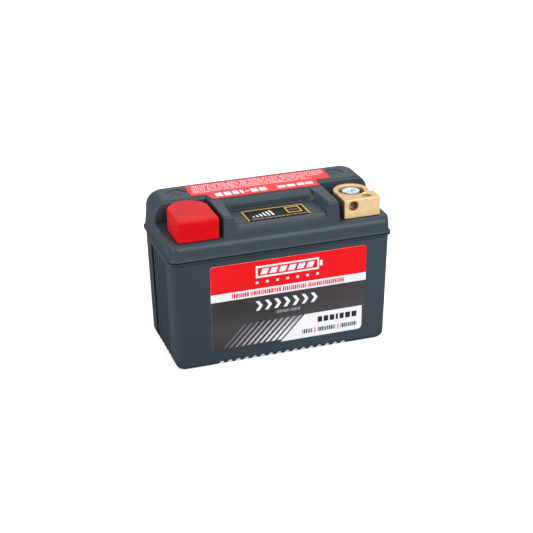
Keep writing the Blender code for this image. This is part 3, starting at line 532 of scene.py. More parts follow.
def machined_brass(name, colour):
    """Sawn and milled brass: fine lines across it, a soft sheen and a little tarnish,
    with painted shade on its tops and in its holes and a painted highlight on its edges.
    """
    made = Finish(name, colour, metallic=0.4)
    lines = made.noise(0.25, 3.0, 0.6, made.stretched((0.06, 1.0, 1.0)))
    tarnish = made.ramp(made.noise(5.0, 5.0, 0.6), 0.45, 0.75)
    base = made.mix(tarnish, colour, shade(colour, 0.80))
    streak = made.ramp(lines, 0.35, 0.65)
    base = made.mix(streak, base, made.mix(0.5, base, shade(colour, 1.12)))
    # painted shade: faces that look up are darkened
    base = made.mix(made.tops(), base, shade(colour, 0.76))
    # painted shade: holes and grooves are darkened
    base = made.mix(made.crevice_shade(6.0, 0.15, 0.8), shade(colour, 0.28), base)
    # painted highlight: sharp edges are lightened a little
    made.colour(made.mix(made.edge_highlight(0.3), base, shade(colour, 1.05)))
    made.roughness(streak, 0.42, 0.56)
    made.relief((lines, 0.02), (made.noise(1.2, 3.0), 0.02), edge=0.2)
    return made.material


def plated_zinc(name, colour):
    """Bright zinc plating with a blue passivate that clouds from place to place."""
    made = Finish(name, colour, metallic=0.75)
    base = made.mix(made.cloud(2.2, 4.0, 0.6), colour, linear(140, 176, 186))
    warm = made.ramp(made.noise(3.6, 3.0), 0.55, 0.75)
    made.colour(made.mix(warm, base, linear(222, 214, 190)))
    made.roughness(made.noise(0.7, 4.0), 0.14, 0.34)
    made.relief((made.noise(0.35, 3.0), 0.008), edge=0.15)
    return made.material


def drawn_metal(name, colour, grain, roughness):
    """Rolled or tinned strip: lines along X and dull patches."""
    made = Finish(name, colour, metallic=1.0)
    lines = made.noise(grain, 3.0, 0.6, made.stretched((0.05, 1.0, 1.0)))
    patch = made.ramp(made.noise(4.0, 4.0), 0.4, 0.7)
    made.colour(made.mix(patch, colour, shade(colour, 0.82)))
    made.roughness(lines, roughness - 0.07, roughness + 0.10)
    made.relief((lines, 0.012), edge=0.08)
    return made.material


def printed_vinyl(name, colour):
    """Screen-printed film: an even ink with a fine raster and a shallow ripple."""
    made = Finish(name, colour, Specular_IOR_Level=0.22)
    raster = made.ramp(made.cells(0.32), 0.15, 0.55)
    base = made.tones(raster, 0.97, 1.03)
    made.colour(made.mix(made.cloud(14.0, 2.0), base, shade(colour, 0.95)))
    made.film(0.31, 0.42)
    return made.material


def dotted_vinyl(name, colour, dot, right, specular):
    """Dark print with a faint raster of dots; towards the right end, painted light
    turns it another tone.
    """
    made = Finish(name, colour, Specular_IOR_Level=specular)
    raster = made.texture("Voronoi", 0.9, Randomness=0.0)
    spot = made.ramp(raster.outputs["Distance"], 0.35, 0.25)
    left_end = made.mix(spot, made.mix(made.cloud(30.0, 1.0), colour, shade(colour, 1.3)), dot)
    # painted light: the print grows lighter towards its right end, by the factor right
    right_end = made.mix(spot, shade(colour, right), shade(dot, right))
    made.colour(made.mix(made.along("X", -0.01, 0.05), left_end, right_end))
    made.film(0.32, 0.42)
    return made.material


def shrink_wrap(name, colour):
    """Thin film shrunk over a cell, with fine wrinkles that run round it."""
    made = Finish(name, colour, Coat_Weight=0.5, Coat_Roughness=0.15)
    wrinkle = made.noise(1.4, 3.0, 0.5, made.stretched((0.3, 0.3, 1.0)))
    made.colour(made.tones(made.cloud(11.0), 0.9, 1.08))
    made.roughness(wrinkle, 0.3, 0.42)
    made.relief((wrinkle, 0.05))
    return made.material


def circuit_board(name, colour):
    """Solder mask over copper: lighter tracks in a grid, and the weave of the laminate."""
    made = Finish(name, colour, Coat_Weight=0.3, Coat_Roughness=0.2)
    tones = {"Color1": colour, "Color2": shade(colour, 0.9), "Mortar": shade(colour, 2.2)}
    tracks = made.texture("Brick", 9.0, **tones, **{"Mortar Size": 0.03})
    weave = made.noise(0.7, 1.0)
    made.colour(made.mix(made.ramp(weave, 0.3, 0.9), tracks.outputs["Color"], shade(colour, 1.3)))
    made.roughness(made.noise(2.0, 3.0), 0.38, 0.5)
    made.relief((tracks.outputs["Fac"], 0.03), (weave, 0.01))
    return made.material


def cellular_foam(name, colour):
    """Open foam: dark pores between lighter walls."""
    made = Finish(name, colour)
    pores = made.cells(0.9)
    made.colour(made.tones(made.ramp(pores, 0.1, 0.6), 0.5, 1.5))
    made.roughness(pores, 0.85, 1.0)
    made.relief((pores, 0.4))
    return made.material


def lamp_lens(name, colour):
    """Milky cast resin."""
    made = Finish(name, colour, Transmission_Weight=0.3)
    made.colour(made.mix(made.noise(0.5, 2.0), shade(colour, 0.9), colour))
    made.roughness(made.noise(0.4, 2.0), 0.2, 0.35)
    made.relief((made.noise(0.5, 2.0), 0.01))
    return made.material


def make_looks(suffix, *rows):
    """Materials by name, from rows of a name, a function, a display colour and further values."""
    looks = {}
    for name, make, colour, *values in rows:
        looks[name] = make(name + suffix, linear(*colour), *values)
    return looks


paint = make_looks(
    "",
    # the case's last value paints it lighter towards its right end: painted light
    ("case_plastic", moulded_plastic, (48, 58, 66), 0.5, 0.46, 1.35),
    ("lid_plastic", moulded_plastic, (51, 62, 70), 0.5, 0.46),
    ("holder_plastic", moulded_plastic, (46, 46, 48), 0.9, 0.5),
    ("component_black", moulded_plastic, (30, 30, 32), 0.3, 0.5),
    ("red_rubber", soft_rubber, (208, 8, 22)),
    ("red_wire", soft_rubber, (190, 16, 16)),
    ("black_wire", soft_rubber, (26, 26, 27)),
    ("brass", machined_brass, (246, 206, 156)),
    ("zinc", plated_zinc, (222, 232, 238)),
    ("nickel", drawn_metal, (196, 192, 184), 0.3, 0.35),
    ("tinned_copper", drawn_metal, (190, 186, 182), 0.5, 0.38),
    ("red_print", printed_vinyl, (232, 18, 26)),
    ("black_print", dotted_vinyl, (15, 12, 14), linear(26, 23, 25), 1.0, 0.04),
    ("cell_wrap", shrink_wrap, (46, 110, 170)),
    ("board_green", circuit_board, (20, 104, 62)),
    ("foam", cellular_foam, (62, 62, 66)),
    ("led_white", lamp_lens, (236, 238, 228)),
)
ink = make_looks(
    "_ink",
    ("white", printed_vinyl, (236, 238, 244)),
    # 1.45 paints the dark ink lighter towards its right end: painted light
    ("dark", dotted_vinyl, (57, 54, 57), linear(78, 76, 80), 1.45, 0.12),
    ("grey", printed_vinyl, (150, 152, 156)),
    ("text", printed_vinyl, (40, 38, 46)),
    ("gold", printed_vinyl, (226, 178, 58)),
    ("brown", printed_vinyl, (156, 134, 116)),
)


def dress_cad_nodes():
    """The nodes that keep their CAD shape take the detailed finish of their own slot."""
    for node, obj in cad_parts.items():
        slot = obj.data.materials[0].name
        obj.data.materials[0] = paint[slot]


# ---- case


def case_half(z):
    """Half length and half depth of the case's outside at a height."""
    lean = DRAFT * (FLANGE_BOTTOM - z)
    return HALF_LENGTH - FLANGE_OVERHANG - lean, HALF_DEPTH - FLANGE_OVERHANG - lean


def case_ring(z, end_inset, side_inset, radius=CORNER_R):
    half_x, half_y = case_half(z)
    half_x -= end_inset
    half_y -= side_inset
    return at_height(rounded_box(-half_x, half_x, -half_y, half_y, radius), z)


def flange_rings(seam, side, profile):
    """Half of the pointed rim at the seam, as rings that start at the seam; side is -1 or 1."""
    rings = []
    for away, end_inset, side_inset in profile:
        half_x, half_y = HALF_LENGTH - end_inset, HALF_DEPTH - side_inset
        plan = rounded_box(-half_x, half_x, -half_y, half_y, CORNER_R + 0.5)
        rings.append(at_height(plan, seam + side * away))
    return rings


def case_rings():
    """Up the outside, over the rim and down the inside to the floor."""
    rings = [case_ring(z, inset, inset) for z, inset in under_edge(0.0, CASE_BASE_R, 8)]
    rings.append(case_ring(FLANGE_BOTTOM - 0.6, 0.0, 0.0))
    rings.append(case_ring(FLANGE_BOTTOM - 0.15, -0.15, -0.15))
    rings += reversed(flange_rings(CASE_TOP, -1, CASE_LIP))
    for z, inset in [(CASE_TOP, 0.0), *reversed(under_edge(CASE_FLOOR, CASE_FLOOR_R, 5))]:
        rings.append(case_ring(z, END_WALL + inset, SIDE_WALL + inset, CASE_INNER_R))
    return rings


def rib_depth(y):
    """Share of the full groove depth across the ribs: round ribs between flat grooves."""
    offset = (y - RIB_MIDDLE) / RIB_PITCH + 0.5 * (RIB_GROOVES % 2 == 0)
    distance = abs(offset - round(offset))
    share = min(max((distance - 0.20) / 0.16, 0.0), 1.0)
    return 1.0 - share * share * (3.0 - 2.0 * share)


def rib_grooves(bm, side):
    """The grooves between the ribs of one end, as a comb that leans with the wall."""
    span = RIB_PITCH * (RIB_GROOVES - 1) / 2 + HALF_GROOVE
    steps = RIB_GROOVES * 14
    samples = [RIB_MIDDLE - span + 2 * span * i / steps for i in range(steps + 1)]
    heights = [(-1.0, 0.0), (RIB_FADE, 0.0)]
    for rise, drop in quarter(5)[1:]:
        heights.append((RIB_FADE + RIB_FADE_H * rise, (RIB_DEPTH + 0.1) * drop))
    rings = []
    for z, fade in heights:
        wall = case_half(z)[0]
        teeth = []
        for y in samples:
            depth = RIB_SETBACK + (RIB_DEPTH - RIB_SETBACK) * rib_depth(y)
            teeth.append((wall - depth + fade, y))
        back = wall + 5.0
        plan = [*teeth, (back, samples[-1]), (back, samples[0])]
        rings.append([(side * x, y, z) for x, y in plan])
    add_loft(bm, rings)


def add_front_to_back(bm, profile):
    """Extrudes a closed (x, z) profile right through the case along Y."""
    reach = HALF_DEPTH + 3.0
    add_loft(bm, [[(x, y, z) for x, z in profile] for y in (-reach, reach)])


def tooth_notches(bm):
    """Arched notches across the underside, their mouths rounded."""
    tip = NOTCH_HALF + TOOTH_TIP_R
    mouth = arc((tip, TOOTH_LIFT + TOOTH_TIP_R), TOOTH_TIP_R, -90.0, -180.0, 4)
    right = [(tip, -1.0), *mouth]
    arch = arc((0.0, NOTCH_H - NOTCH_HALF), NOTCH_HALF, 0.0, 180.0, 10)[1:-1]
    left = [(-x, z) for x, z in reversed(right)]
    first = -TOOTH_PITCH * (TOOTH_COUNT - 1) / 2
    for tooth in range(TOOTH_COUNT):
        middle = first + tooth * TOOTH_PITCH
        add_front_to_back(bm, [(middle + x, z) for x, z in (*right, *arch, *left)])


def tooth_lift(bm):
    """A shallow flat recess that lifts the toothed middle off the surface."""
    half = TOOTH_PITCH * TOOTH_COUNT / 2
    foot = half + 3.0
    add_front_to_back(bm, [(-foot, -1.0), (foot, -1.0), (half, TOOTH_LIFT), (-half, TOOTH_LIFT)])


def make_case():
    case = draw("case_shell", add_loft, case_rings())
    for side in (-1, 1):
        carve(case, rib_grooves, side)
    carve(case, tooth_lift)
    carve(case, tooth_notches)
    place(case, "case_plastic", replaces="case")


# ---- lid


def lid_half(z):
    """Half length and half depth of the lid's walls at a height, below the roundings."""
    rise = z - LID_BOTTOM - LID_FLANGE
    half_x = HALF_LENGTH - FLANGE_OVERHANG - DRAFT * rise
    half_y = HALF_DEPTH - LID_SIDE_OVERHANG - LID_SIDE_LEAN * rise
    return half_x, half_y


def ledge_rings():
    """Flange, wall, wide front shoulder and flat ledge."""
    rings = flange_rings(LID_BOTTOM, 1, LID_LIP)
    foot = LID_BOTTOM + 1.8
    half_x, half_y = lid_half(foot)
    rings.append(at_height(rounded_box(-half_x, half_x, -half_y, half_y - 0.4, CORNER_R), foot))
    for rise, share in quarter(12):
        z = LEDGE_Z - SHOULDER_R * (1.0 - rise)
        drop = SHOULDER_R * share
        half_x, half_y = lid_half(z)
        radius = CORNER_R - (CORNER_R - LEDGE_CORNER_R) * share
        plan = rounded_box(-half_x, half_x, drop - half_y, half_y - 0.4 - drop, radius)
        rings.append(at_height(plan, z))
    return rings


def plateau_ends(z, inset=0.0):
    """Left and right end of the plateau at a height: a lean, then a quarter ellipse."""
    spring = LID_TOP - PLATEAU_END_B
    half = lid_half(min(z, spring))[0] + PLATEAU_PROUD - inset
    if z > spring:
        rise = min((z - spring) / (PLATEAU_END_B - inset), 1.0)
        half -= (PLATEAU_END_A - inset) * (1.0 - math.sqrt(1.0 - rise * rise))
    middle = LID_MIDDLE * min((z - LID_BOTTOM) / (LEDGE_Z - LID_BOTTOM), 1.0)
    return middle - half, middle + half


def plateau_rings():
    """The raised rear of the lid, with long rounded ends."""
    levels = [LID_BOTTOM + LID_FLANGE - 0.5, LEDGE_Z]
    levels += [z for z, _ in over_edge(LID_TOP, PLATEAU_END_B, 14)]
    levels += [z for z, _ in over_edge(LID_TOP, PLATEAU_EDGE, 6)]
    rings = []
    for z in sorted({round(level, 3) for level in levels}):
        rise = min(max(0.0, (z - (LID_TOP - PLATEAU_EDGE)) / PLATEAU_EDGE), 1.0)
        drop = PLATEAU_EDGE * (1.0 - math.sqrt(1.0 - rise * rise))
        left, right = plateau_ends(z - 0.02)
        rear = lid_half(z)[1] - drop
        plan = rounded_box(left, right, PLATEAU_FRONT + drop, rear, 1.5, PLATEAU_REAR_R)
        rings.append(at_height(plan, z))
    return rings


def console_rings():
    """The raised middle of the lid between the two terminal pockets."""
    rings = []
    for z, drop in [(LEDGE_Z - 3.0, 0.0), *over_edge(LID_TOP - 0.05, CONSOLE_EDGE, 6)]:
        flare = (LID_TOP - z) / (LID_TOP - LEDGE_Z)
        left = LID_MIDDLE - CONSOLE_HALF - 0.5 * flare + drop
        right = LID_MIDDLE + CONSOLE_HALF + 0.5 * flare - drop
        front = CONSOLE_FRONT - 1.3 * flare + drop
        plan = rounded_box(left, right, front, PLATEAU_FRONT + 6.0, 1.6)
        rings.append(at_height(plan, z))
    return rings


def tray_rings():
    """The tray's hollow: round at the floor and flared out over its rim."""
    reach = CONSOLE_FRONT - 6.0
    slant = TRAY_FLARE / (TOP - TRAY_FLOOR)
    r = TRAY_CORNER_R
    levels = [(z, -inset) for z, inset in under_edge(TRAY_FLOOR, 0.5, 4)]
    levels += [*over_edge(LID_TOP, TRAY_RIM_R, 5), (LID_TOP + 2.0, TRAY_RIM_R)]
    rings = []
    for z, out in levels:
        front = TRAY_HALF + 0.6 + slant * (z - TRAY_FLOOR) + out
        rear = front - 1.2
        back = TRAY_REAR + min(out, 0.0)
        plan = [(-front, reach), (front, reach)]
        plan += arc((rear - r, back - r), r, 0.0, 90.0, 8)
        plan += arc((r - rear, back - r), r, 90.0, 180.0, 8)
        rings.append([(TRAY_MIDDLE + x, y, z) for x, y in plan])
    return rings


def tray_slopes(bm):
    """The slope behind the tray, and the one where its floor runs out to the front."""
    slope = (LID_TOP - TRAY_BEVEL_Z) / (TRAY_BEVEL_REAR - TRAY_REAR)
    over = 2.0
    rear = [
        (TRAY_BEVEL_REAR + over, LID_TOP + slope * over),
        (TRAY_BEVEL_REAR + over, LID_TOP + 3.0),
        (TRAY_REAR - over, LID_TOP + 3.0),
        (TRAY_REAR - over, TRAY_BEVEL_Z - slope * over),
    ]
    front = [(TRAY_SLOPE_Y + out, TRAY_FLOOR + up) for out, up in TRAY_RUN_OUT]
    half = TRAY_HALF + 1.0
    for profile in (rear, front):
        add_across(bm, profile, TRAY_MIDDLE - half, TRAY_MIDDLE + half)


def lid_hollows():
    """Three hollows that together leave an even wall under the lid."""
    half_x, half_y = lid_half(LEDGE_Z)
    half_x -= LID_WALL
    half_y -= LID_WALL
    ledge = rounded_box(-half_x, half_x, -half_y + 0.6, half_y - 0.6, 2.0, steps=3)
    plateau = []
    for z in (LID_BOTTOM + 0.5, LEDGE_Z, LID_TOP - PLATEAU_END_B, 86.0, 88.2, LID_TOP - LID_WALL):
        left, right = plateau_ends(z, LID_WALL)
        plan = rounded_box(left, right, PLATEAU_FRONT + LID_WALL, half_y - 0.9, 1.0, 4.0, 3)
        plateau.append(at_height(plan, z))
    inner = CONSOLE_HALF - LID_WALL
    console = [LID_MIDDLE - inner, LID_MIDDLE + inner, CONSOLE_FRONT + LID_WALL]
    console += [PLATEAU_FRONT + LID_WALL + 1.0, LID_BOTTOM + 0.7, TRAY_FLOOR - LID_WALL]
    return [
        (add_prism, ledge, LID_BOTTOM - 1.0, LEDGE_Z - LID_WALL),
        (add_loft, plateau),
        (add_box, *console),
    ]


def lid_bosses(bm):
    """Bosses round the terminal posts, and pegs that carry the indicator board."""
    board = INDICATOR_BOARD_TOP
    for side in (-1, 1):
        add_prism(bm, circle(terminal_centre(side), BOSS_R, 40), POST_BOTTOM + 2.4, LEDGE_Z - 1.0)
        peg = [(1.1, board - 2.2), (1.1, board + 0.3), (2.2, board + 0.3), (2.2, TRAY_FLOOR - 1.0)]
        add_turned(bm, (side * 22.0, BUTTON_CENTRE[1]), peg, 20)


def lid_openings(bm):
    """Post holes, the button hole and the window behind the bar graph."""
    for side in (-1, 1):
        hole = circle(terminal_centre(side), POST_R + 0.3, 40)
        add_prism(bm, hole, POST_BOTTOM, LEDGE_Z + 1.0)
    for outline in (around(BUTTON_CENTRE, BUTTON_HOLE_HALF), WINDOW):
        add_box(bm, *outline, TRAY_FLOOR - LID_WALL - 1.0, TRAY_FLOOR + 1.0)


def polarity_discs(bm):
    """Round recesses with a small rounding at the mouth."""
    mouth_r = 0.25
    profile = [(DISC_R, LID_TOP - DISC_DEPTH)]
    profile += [(DISC_R + out, z) for z, out in over_edge(LID_TOP, mouth_r, 4)]
    profile.append((DISC_R + mouth_r, LID_TOP + 1.0))
    for side in (-1, 1):
        add_turned(bm, (on_lid(side, DISC_X), DISC_Y), profile, 64)


def polarity_signs(bm):
    """A moulded plus and minus in the discs, lower than the lid's top."""
    bottom = LID_TOP - DISC_DEPTH - 0.3
    top = LID_TOP - DISC_DEPTH + 0.25
    long, short = 2.6, 0.55
    for side in (-1, 1):
        x = on_lid(side, DISC_X)
        add_box(bm, x - long, x + long, DISC_Y - short, DISC_Y + short, bottom, top)
    x = on_lid(-1, DISC_X)
    for start, end in ((-long, -short - 0.001), (short + 0.001, long)):
        add_box(bm, x - short, x + short, DISC_Y + start, DISC_Y + end, bottom, top)


def make_lid():
    lid = draw("lid_shell", add_loft, ledge_rings())
    join(lid, add_loft, plateau_rings())
    join(lid, add_loft, console_rings())
    carve(lid, add_loft, tray_rings())
    carve(lid, tray_slopes)
    for hollow in lid_hollows():
        carve(lid, *hollow)
    join(lid, lid_bosses)
    carve(lid, lid_openings)
    carve(lid, polarity_discs)
    join(lid, polarity_signs)
    place(lid, "lid_plastic", replaces="lid")


# ---- terminals


def block_plan(side, inset):
    """Plan of a terminal block: a rectangle at the front that runs into a round rear."""
    radius = BLOCK_R - inset
    shoulder = BLOCK_SHOULDER - inset
    dip = math.degrees(math.asin((TERMINAL_Y - shoulder) / radius))
    left = BLOCK_MID_X - BLOCK_HALF + inset
    right = BLOCK_MID_X + BLOCK_HALF - inset
    r = BLOCK_CORNER_R
    front = BLOCK_LOW.y + inset + r
    points = arc((TERMINAL_X, TERMINAL_Y), radius, -dip, 180.0 + dip, 48)
    points.append((left, shoulder))
    points += arc((left + r, front), r, 180.0, 270.0, 4)
    points += arc((right - r, front), r, 270.0, 360.0, 4)
    points.append((right, shoulder))
    return [(on_lid(side, x), y) for x, y in points]


def sunk_mouth(radius, top, sink=0.4):
    """The countersunk top of a hole, as (radius, height) up from its wall."""
    return [(radius, top - sink), (radius + sink, top), (radius + sink, top + 1.0)]


def drilled(depth, top):
    """A blind lead hole with the cone of the drill at its end, as (radius, height)."""
    return [(0.05, top - depth), (HOLE_R, top - depth + 1.2), *sunk_mouth(HOLE_R, top)]


def block_holes(bm, side):
    """The counterbore over the bolt, and the two lead holes, their mouths countersunk."""
    bottom, top = BLOCK_LOW.z, BLOCK_HIGH.z
    bore = [(BOLT_R + 0.4, bottom - 1.0), (BOLT_R + 0.4, COUNTERBORE_Z)]
    bore += [(COUNTERBORE_R, COUNTERBORE_Z), *sunk_mouth(COUNTERBORE_R, top)]
    add_turned(bm, terminal_centre(side), bore, 64)
    x, y = TOP_HOLE
    add_turned(bm, (on_lid(side, x), y), drilled(TOP_HOLE_DEPTH, top), 40)
    x, z = FRONT_HOLE
    front = BLOCK_LOW.y
    rings = []
    for radius, height in reversed(drilled(FRONT_HOLE_DEPTH, 0.0)):
        ring = circle((on_lid(side, x), z), radius, 40)
        rings.append([(px, front - height, pz) for px, pz in ring])
    add_loft(bm, rings)


def make_block(pole, side):
    bottom, top = BLOCK_LOW.z, BLOCK_HIGH.z
    levels = [(bottom, 0.2), (bottom + 0.2, 0.0), *over_edge(top, BLOCK_EDGE, 3)]
    rings = [at_height(block_plan(side, inset), z) for z, inset in levels]
    block = draw(pole + "_brass_block", add_loft, rings)
    carve(block, block_holes, side)
    place(block, "brass", replaces=pole + "_terminal_block")


def hexagon_radius(across_flats, angle):
    """Distance from the centre of a hexagon to its side, in a direction in degrees."""
    return across_flats / 2 / math.cos(math.radians(angle % 60.0 - 30.0))


def thread_sections(directions, seat, tip):
    """(radii, height) of a rolled thread, eight to a turn, that fades in at the tip."""
    sections = []
    steps = 8
    for i in range(1, int((seat - 0.8 - tip) / THREAD_PITCH * steps)):
        z = tip + i * THREAD_PITCH / steps
        fade = min(i / (2.0 * steps), 1.0)
        radii = []
        for direction in directions:
            phase = ((z - tip) / THREAD_PITCH - direction / 360.0) % 1.0
            groove = 1.0 - abs(2.0 * phase - 1.0)
            radii.append((BOLT_R - 0.05 - THREAD_DEPTH * groove) * (0.8 + 0.2 * fade))
        sections.append((radii, z))
    return sections


def bolt_rings(centre, seat, tip):
    """A bolt from its tip up: a thread, then a hexagon head turned off at its corners."""
    count = 60
    directions = [360.0 / count * i for i in range(count)]
    flats = [hexagon_radius(HEAD_AF, direction) for direction in directions]
    half, top = HEAD_AF / 2, seat + HEAD_H
    face_r = half - 0.35
    sections = [([BOLT_R - 0.9] * count, tip), *thread_sections(directions, seat, tip)]
    sections += [([BOLT_R - 0.1] * count, z) for z in (seat - 0.4, seat)]
    sections.append(([min(flat, half + 0.1) for flat in flats], seat))
    sections.append((flats, [seat + 0.5 * max(flat - half - 0.1, 0.0) + 0.05 for flat in flats]))
    sections.append((flats, [top - 0.45 * (flat - face_r) for flat in flats]))
    for inset, drop in ((0.0, 0.0), (0.5, 0.0), (0.9, 0.15)):
        sections.append(([face_r - inset] * count, top - drop))
    rings = []
    for radii, heights in sections:
        if isinstance(heights, float):
            heights = [heights] * count
        ring = []
        for direction, radius, z in zip(directions, radii, heights):
            angle = math.radians(direction)
            x, y = centre[0] + radius * math.cos(angle), centre[1] + radius * math.sin(angle)
            ring.append((x, y, z))
        rings.append(ring)
    return rings


def cross_recess(bm, centre, top):
    """A tapered cross for a screwdriver."""
    long, short = 2.6, 0.6
    plan = []
    for turn in range(4):
        c, s = math.cos(math.radians(90.0 * turn)), math.sin(math.radians(90.0 * turn))
        for x, y in ((long, -short), (long, short), (short, short)):
            plan.append((x * c - y * s, x * s + y * c))
    levels = ((0.35, top - 2.4), (0.75, top - 1.6), (1.12, top + 0.5))
    add_loft(bm, [[(centre[0] + k * x, centre[1] + k * y, z) for x, y in plan] for k, z in levels])


def make_bolt(pole, side):
    node = pole + "_terminal_bolt"
    low, high = node_box(node)
    centre = terminal_centre(side)
    rings = bolt_rings(centre, high.z - HEAD_H, low.z)
    bolt = draw(pole + "_zinc_bolt", add_loft, rings)
    carve(bolt, cross_recess, centre, high.z)
    place(bolt, "zinc", pole + "_bolt", node)


def make_washer(pole, side):
    node = pole + "_bolt_washer"
    low, high = node_box(node)
    edge = 0.25
    bore = BOLT_R + 0.3
    profile = [(bore, low.z + edge), (bore + edge, low.z), (WASHER_R - edge, low.z)]
    profile += [(WASHER_R, low.z + edge), (WASHER_R, high.z - edge)]
    profile += [(WASHER_R - edge, high.z), (bore + edge, high.z), (bore, high.z - edge)]
    name = pole + "_plain_washer"
    washer = draw(name, add_turned, terminal_centre(side), profile, 64, True)
    place(washer, "zinc", pole + "_washer", node)


def cap_plan(half, front, corner):
    """Plan of the cap: straight sides that run into a half circle at the rear."""
    middle = on_lid(-1, BLOCK_MID_X)
    points = arc((middle, CAP_ROUND_Y), half, 0.0, 180.0, 40)
    points += arc((middle - half + corner, front + corner), corner, 180.0, 270.0, 6)
    points += arc((middle + half - corner, front + corner), corner, 270.0, 360.0, 6)
    return points


def make_cap():
    """The red cap, one skin outside and inside, with a rolled lower edge."""
    bottom, top, front = CAP_LOW.z, CAP_HIGH.z, CAP_LOW.y
    levels = [(bottom, 0.25), (bottom + 0.25, 0.0), *over_edge(top, CAP_EDGE, 8)]
    rings = [at_height(cap_plan(CAP_HALF - drop, front + drop, 1.3), z) for z, drop in levels]
    cap = draw("red_cap", add_loft, rings)
    inner = cap_plan(CAP_HALF - CAP_WALL, front + CAP_WALL, 0.6)
    carve(cap, add_prism, inner, bottom - 1.0, top - CAP_WALL)
    place(cap, "red_rubber", "cap", "terminal_cap")


def make_terminals():
    for side, pole in ((-1, "positive"), (1, "negative")):
        make_block(pole, side)
        make_bolt(pole, side)
        make_washer(pole, side)
    make_cap()


# ---- prints


def block_row(x0, x1, widths, gap):
    """Start and end of each block in a row that fills x0 to x1 in the given proportions."""
    unit = (x1 - x0 - gap * (len(widths) - 1)) / sum(widths)
    spans = []
    x = x0
    for width in widths:
        spans.append((x, x + unit * width))
        x += unit * width + gap
    return spans


def ticks(x0, x1, groups, gap, seed=1):
    """Uneven thin bars in groups, like the rhythm of a printed line."""
    rhythm = random.Random(seed)
    spans = []
    for start, end in block_row(x0, x1, groups, 2.5 * gap):
        count = max(1, round((end - start) / (2.4 * gap)))
        spans += block_row(start, end, [rhythm.uniform(0.6, 1.6) for _ in range(count)], gap)
    return spans


def bars(spans, low, high, lean=0.0):
    """Upright bars as outlines, from their spans and edges; the upper edge is shifted by a lean."""
    return [[(x0, low), (x1, low), (x1 + lean, high), (x0 + lean, high)] for x0, x1 in spans]


def frame_bars(x0, x1, y0, y1, line, sides="lrtb"):
    """The four sides of a printed frame as rectangles that meet but don't overlap."""
    inset = line + 0.001
    across = (x0 + inset, x1 - inset)
    outlines = {
        "l": bars([(x0, x0 + line)], y0, y1),
        "r": bars([(x1 - line, x1)], y0, y1),
        "t": bars([across], y1 - line, y1),
        "b": bars([across], y0, y0 + line),
    }
    return [outline for side in sides for outline in outlines[side]]


def add_prints(bm, at, outlines, low, high):
    for outline in outlines:
        add_loft(bm, [[at(x, v, level) for x, v in outline] for level in (low, high)])


def print_piece(at, name, outlines, levels, slot, look=None, replaces=None, body="housing"):
    """A print between two levels; at turns (x, height across, level) into a point."""
    place(draw(name, add_prints, at, outlines, *levels), slot, body, replaces, look)


def on_top(x, y, z):
    return (x, y, z)


def on_front(x, z, level):
    """A point on the leaning front wall; level is how far it stands off the wall."""
    return (x, -case_half(z)[1] - level, z)


def front_label_fields():
    """The film and its colour fields: red head, white stripe and dark foot."""
    x0, x1 = FRONT_FILM[:2]
    low, high = FRONT_STRIPE
    film = rounded_box(*FRONT_FILM, FRONT_FILM_R)
    corner = len(film) // 4
    levels = (FILM_LOW, FILM_HIGH)
    print_piece(on_front, "front_film", [film], levels, "red_print", ink["white"], "front_label")
    levels = (FILM_HIGH, LAYER_1)
    head = [(x0, high), (x1, high), *film[corner : 3 * corner]]
    print_piece(on_front, "front_red_field", [head], levels, "red_print")
    foot = [*film[3 * corner :], *film[:corner], (x1, low), (x0, low)]
    print_piece(on_front, "front_dark_field", [foot], levels, "black_print", ink["dark"])


def front_label_marks():
    """Plain generic marks where the printed words and figures stand."""
    levels = (LAYER_1, LAYER_2)
    low, high = 55.2, 58.6
    battery_sign = frame_bars(-17.0, 21.4, 53.2, 60.6, 1.1) + bars([(21.9, 23.6)], low, high)
    battery_sign += bars(block_row(-14.4, 17.4, [1.0] * 6, 1.5), low, high, 1.4)
    dots = bars(block_row(-17.0, 21.4, [1.0] * 7, 4.6), 49.6, 51.0)
    arrows = []
    low, middle, high = 32.3, 35.4, 38.5
    for back, tip in block_row(-17.2, 20.8, [1.0] * 7, 1.3):
        shoulder, notch = tip - ARROW_NOTCH, back + ARROW_NOTCH
        arrow = [(back, low), (shoulder, low), (tip, middle)]
        arrows.append([*arrow, (shoulder, high), (back, high), (notch, middle)])
    white = battery_sign + dots + arrows
    print_piece(on_front, "front_white_marks", white, levels, "red_print", ink["white"])
    small = bars(ticks(-4.5, 10.0, [4, 3], 0.35), 28.8, 30.6)
    print_piece(on_front, "front_grey_marks", small, levels, "black_print", ink["grey"])

    x0, x1, z0, z1 = FRONT_PANEL
    r = FRONT_PANEL_R
    panel = [(x0, z0), *arc((x1 - r, z0 + r), r, -90.0, 0.0, 6)]
    panel += [(x1, z1), (x0 + SLANT * (z1 - z0), z1)]
    print_piece(on_front, "front_white_panel", [panel], levels, "red_print", ink["white"])
    red = bars(ticks(-31.5, 37.0, [5, 9, 7, 11], 0.5), 42.6, 45.3)
    red += bars([(x, x + 0.6) for x in (19.0, 33.6)], 11.8, 15.6)
    print_piece(on_front, "front_red_marks", red, (FILM_HIGH, LAYER_3), "red_print")
    text = bars(block_row(21.0, 45.6, [1.0, 1.0, 1.0, 0.5, 0.9, 1.1, 1.1], 1.0), 18.5, 22.1)
    for start, end, groups in ((11.5, 17.6, [3]), (21.2, 32.2, [4]), (35.6, 45.7, [4])):
        text += bars(ticks(start, end, groups, 0.45), 12.4, 15.1)
    levels = (LAYER_2, LAYER_3)
    print_piece(on_front, "front_dark_marks", text, levels, "black_print", ink["text"])


